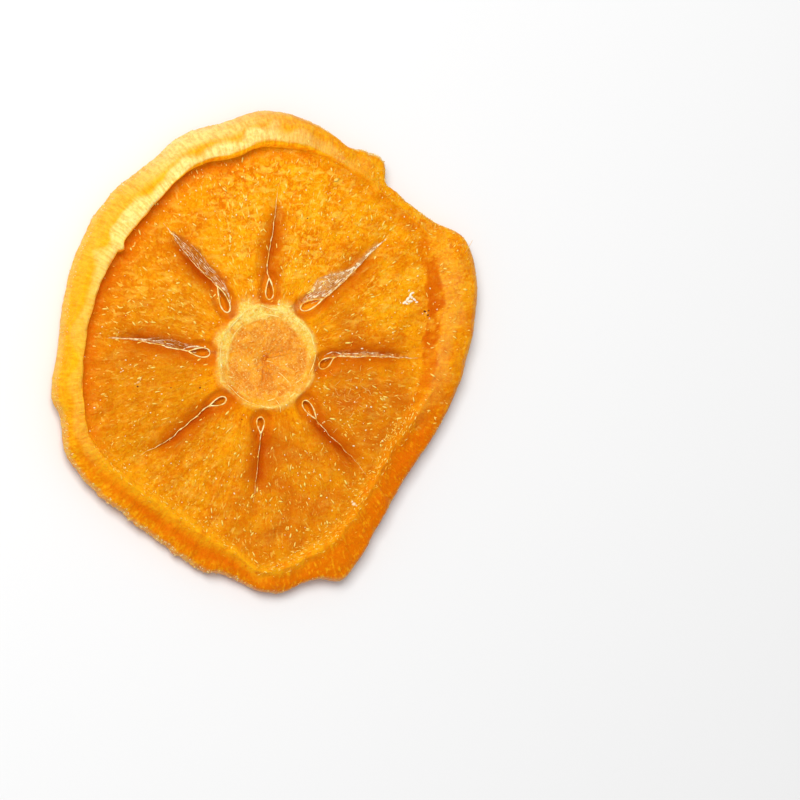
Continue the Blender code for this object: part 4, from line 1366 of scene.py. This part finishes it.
tufts = []
for start, end, count, full_length, paleness in TUFT_STRETCHES:
    made = 0
    while made < count:
        bearing = math.radians(draw.uniform(start, end))
        reach = at_bearing(slice_edge, bearing) - TUFT_DEPTH * draw.random() ** 1.5
        place, normal, _ = flesh_at(reach, bearing)
        if place is None or draw.random() > 0.5 + 1.4 * noise.noise((CLUMPS * bearing, start, 0)):
            continue
        heading = bearing + draw.normal(0, 0.7)
        level = (normal + Vector((0, 0, 2))).normalized()
        length, width = full_length * draw.uniform(0.5, 1.3), draw.uniform(*TUFT_WIDTH)
        tufts.append((laid(place, level, heading, length, width, TUFT_HEIGHT), draw.random() * paleness))
        made += 1
tuft = Finish(
    "dried_fringe", 0.40,
    Subsurface_Weight=0.3, Subsurface_Radius=(1.0, 0.6, 0.2), Subsurface_Scale=0.0006,
)
toned(tuft, tint(255, 184, 40), tint(255, 240, 180))
piece("rim_fringe", scattered(tufts), tuft)

# The hairs: finer threads of pulp that have dried curled on the browner flesh right of the core, and one
# that stands out from the edge of the slice at the upper right.
HAIR_COUNT = 44
HAIR_PATCH = ((0.0122, -0.0044), (0.0026, 0.0024))
HAIR_RADIUS = 0.00003
HAIR_STEP = 0.00014
HAIR_STEPS = (3, 9)
HAIR_BEND = 0.14
HAIR_CURL = 0.20
FIRST_HAIR = 80
EDGE_HAIR = ((0.0278, 0.0141), (0.0283, 0.0148), (0.0288, 0.0157))
EDGE_HAIR_RISE = 0.0001

hair_runs = []
for number in range(FIRST_HAIR, FIRST_HAIR + HAIR_COUNT):
    end = draw.normal(*HAIR_PATCH)
    heading = draw.uniform(0, math.tau)
    bend = draw.normal(0, HAIR_BEND)
    route = [end]
    for _ in range(draw.integers(*HAIR_STEPS)):
        heading += bend + draw.normal(0, HAIR_CURL)
        end = end + HAIR_STEP * np.array((math.cos(heading), math.sin(heading)))
        route.append(end)
    hair_runs.append(draped(np.array(route), HAIR_RADIUS * draw.uniform(0.6, 1.2), 0.0, number))
root, _, _ = on_flesh(*EDGE_HAIR[0])
heights = np.linspace(root.z, root.z + EDGE_HAIR_RISE, len(EDGE_HAIR))
hair_runs.append([(x + CORE[0], y + CORE[1], z, HAIR_RADIUS) for (x, y), z in zip(EDGE_HAIR, heights)])
hair = Finish("dried_hair", 0.34, Specular_IOR_Level=0.2, Base_Color=tint(244, 190, 100))
piece("pulp_hairs", threads(hair_runs), hair)

# The crumbs: a curled white flake of dried skin on the right, a whitish scar on the left, and a few dark
# specks. Each is a small rounded body that lies on the flesh, given in millimetres about the core:
# place, half sizes, heading in degrees, tone.
CRUMBS = (
    (19.5, 7.45, 0.36, 0.17, 0.10, 30, 1.0), (19.95, 7.9, 0.36, 0.20, 0.11, 50, 1.0),
    (20.3, 8.4, 0.36, 0.16, 0.14, 70, 1.0), (20.6, 8.7, 0.30, 0.14, 0.13, 20, 0.95),
    (20.5, 8.1, 0.26, 0.20, 0.14, -40, 0.85), (20.9, 7.85, 0.36, 0.15, 0.12, -35, 1.0),
    (20.3, 7.6, 0.44, 0.18, 0.09, 8, 0.85), (21.25, 7.5, 0.22, 0.13, 0.11, 10, 1.0),
    (19.8, 7.3, 0.22, 0.13, 0.08, -20, 0.9), (20.1, 9.0, 0.14, 0.07, 0.10, 80, 1.0),
    (-17.2, -3.1, 0.26, 0.14, 0.06, 30, 0.5), (-16.9, -2.7, 0.20, 0.09, 0.06, 70, 0.6),
    (-17.6, -3.3, 0.14, 0.10, 0.05, 10, 0.5), (-17.3, -3.65, 0.14, 0.12, 0.06, 0, 0.0),
    (-8.9, -3.8, 0.14, 0.10, 0.06, 0, 0.0), (-12.9, -3.8, 0.10, 0.07, 0.05, 20, 0.1),
    (-3.2, -7.9, 0.10, 0.08, 0.05, 0, 0.0), (5.8, 18.3, 0.10, 0.08, 0.05, 0, 0.0),
    (22.4, 6.3, 0.22, 0.14, 0.06, -20, 0.0), (22.8, 5.8, 0.18, 0.12, 0.06, 30, 0.0),
    (22.9, 6.4, 0.14, 0.10, 0.06, 30, 0.05), (22.6, 6.1, 0.08, 0.06, 0.12, 0, 1.0),
    (22.1, 6.0, 0.10, 0.06, 0.08, 40, 0.9), (23.0, 5.4, 0.10, 0.07, 0.08, 0, 0.9),
    (12.3, -19.0, 0.26, 0.22, 0.10, 20, 0.75), (12.1, -18.7, 0.14, 0.12, 0.10, 60, 0.8),
    (12.6, -19.2, 0.12, 0.12, 0.10, 0, 0.7),
)
crumbs = []
for x, y, *size, heading, tone in CRUMBS:
    place, normal, _ = on_flesh(x * MILLIMETRE, y * MILLIMETRE)
    crumbs.append((laid(place, normal, math.radians(heading), *(MILLIMETRE * half for half in size)), tone))
crumb = Finish("dried_crumb", 0.50, Specular_IOR_Level=0.15)
dark_to_tan = crumb.mix(crumb.rise(crumb.mask("tone"), 0.0, 0.5), tint(124, 48, 4), tint(240, 184, 110))
to_white = crumb.mix(crumb.rise(crumb.mask("tone"), 0.5, 1.0), dark_to_tan, tint(255, 240, 214))
crumb.set("Base Color", to_white)
piece("dried_crumbs", scattered(crumbs, 2), crumb)

# The sugar grains: the slice's own sugar has come out of the flesh and dried in tiny clear white grains,
# which lie over the whole of the sunken face. Their near-white tint also stands for painted glints.
GRAIN_COUNT = 340
GRAIN_SIZE = (0.00005, 0.00013)

grains = []
while len(grains) < GRAIN_COUNT:
    bearing = draw.uniform(0, math.tau)
    reach = at_bearing(RIM_FOOT, bearing) * math.sqrt(draw.uniform(0, 1.0))
    place, normal, face = flesh_at(reach, bearing)
    if inside_at[sides[face][0]].value > 0.2:
        continue
    size = GRAIN_SIZE[0] + (GRAIN_SIZE[1] - GRAIN_SIZE[0]) * draw.random() ** 3
    body = laid(place, normal, draw.uniform(0, math.tau), size * draw.uniform(1, 1.8), size, 0.7 * size)
    grains.append((body, draw.random()))
# white grains that are partly painted glints
sugar_and_glints = Finish("dried_sugar_and_glints", 0.20, Coat_Weight=0.2)
toned(sugar_and_glints, tint(255, 222, 130), tint(255, 244, 204))
piece("sugar_grains_and_glints", scattered(grains), sugar_and_glints)

# The floor, the light and the camera: a plain pale table top, one soft square light from above, and a
# camera that looks down on the slice from its raised left side.
FLOOR_SIZE = 3.0
PIXEL = 0.00013
FRAME_PIXELS = 800
CORE_PIXEL = (265.5, 358.6)
CORE_TOP = 0.0042
CAMERA_SIDE = (-0.342, 0, 0.940)
CAMERA_DISTANCE = 0.62
SENSOR = 36.0
LIGHT_SIDE = (-0.42, 0.38, 1.10)
LIGHT_DISTANCE = 0.60
LIGHT_SIZE = 0.28
LIGHT_POWER = 3.05
SKY_LIGHT = 0.43

shape = bmesh.new()
bmesh.ops.create_grid(shape, x_segments=1, y_segments=1, size=FLOOR_SIZE)
floor_mesh = bpy.data.meshes.new("table_top")
shape.to_mesh(floor_mesh)
shape.free()
floor = bpy.data.objects.new("table_top", floor_mesh)
bpy.context.collection.objects.link(floor)
table = Finish("pale_table", 0.75, Base_Color=tint(240, 240, 240))
floor_mesh.materials.append(table.material)

toward_camera = Vector(CAMERA_SIDE).normalized()
picture_up = Vector((0, 1, 0))
picture_right = picture_up.cross(toward_camera)
core_top = Vector((CORE[0], CORE[1], CORE_TOP))
to_right = (FRAME_PIXELS / 2 - CORE_PIXEL[0]) * PIXEL
to_down = (FRAME_PIXELS / 2 - CORE_PIXEL[1]) * PIXEL
aim = core_top + picture_right * to_right - picture_up * to_down
camera_data = bpy.data.cameras.new("camera")
camera_data.sensor_width = SENSOR
camera_data.lens = SENSOR * CAMERA_DISTANCE / (FRAME_PIXELS * PIXEL)
camera_data.clip_start = 0.01
camera = bpy.data.objects.new("camera", camera_data)
camera_turn = Matrix((picture_right, picture_up, toward_camera)).transposed().to_4x4()
camera.matrix_world = Matrix.Translation(aim + toward_camera * CAMERA_DISTANCE) @ camera_turn
bpy.context.collection.objects.link(camera)
bpy.context.scene.camera = camera

light_data = bpy.data.lights.new("key_light", "AREA")
light_data.size = LIGHT_SIZE
light_data.energy = LIGHT_POWER
key_light = bpy.data.objects.new("key_light", light_data)
toward_light = Vector(LIGHT_SIDE).normalized()
light_turn = toward_light.to_track_quat("Z", "Y").to_matrix().to_4x4()
key_light.matrix_world = Matrix.Translation(toward_light * LIGHT_DISTANCE) @ light_turn
bpy.context.collection.objects.link(key_light)
world = bpy.data.worlds.new("studio")
bpy.context.scene.world = world
world.use_nodes = True
sky = world.node_tree.nodes["Background"].inputs
sky["Color"].default_value = (1.0, 1.0, 1.0, 1.0)
sky["Strength"].default_value = SKY_LIGHT
bpy.context.scene.view_settings.view_transform = "Standard"
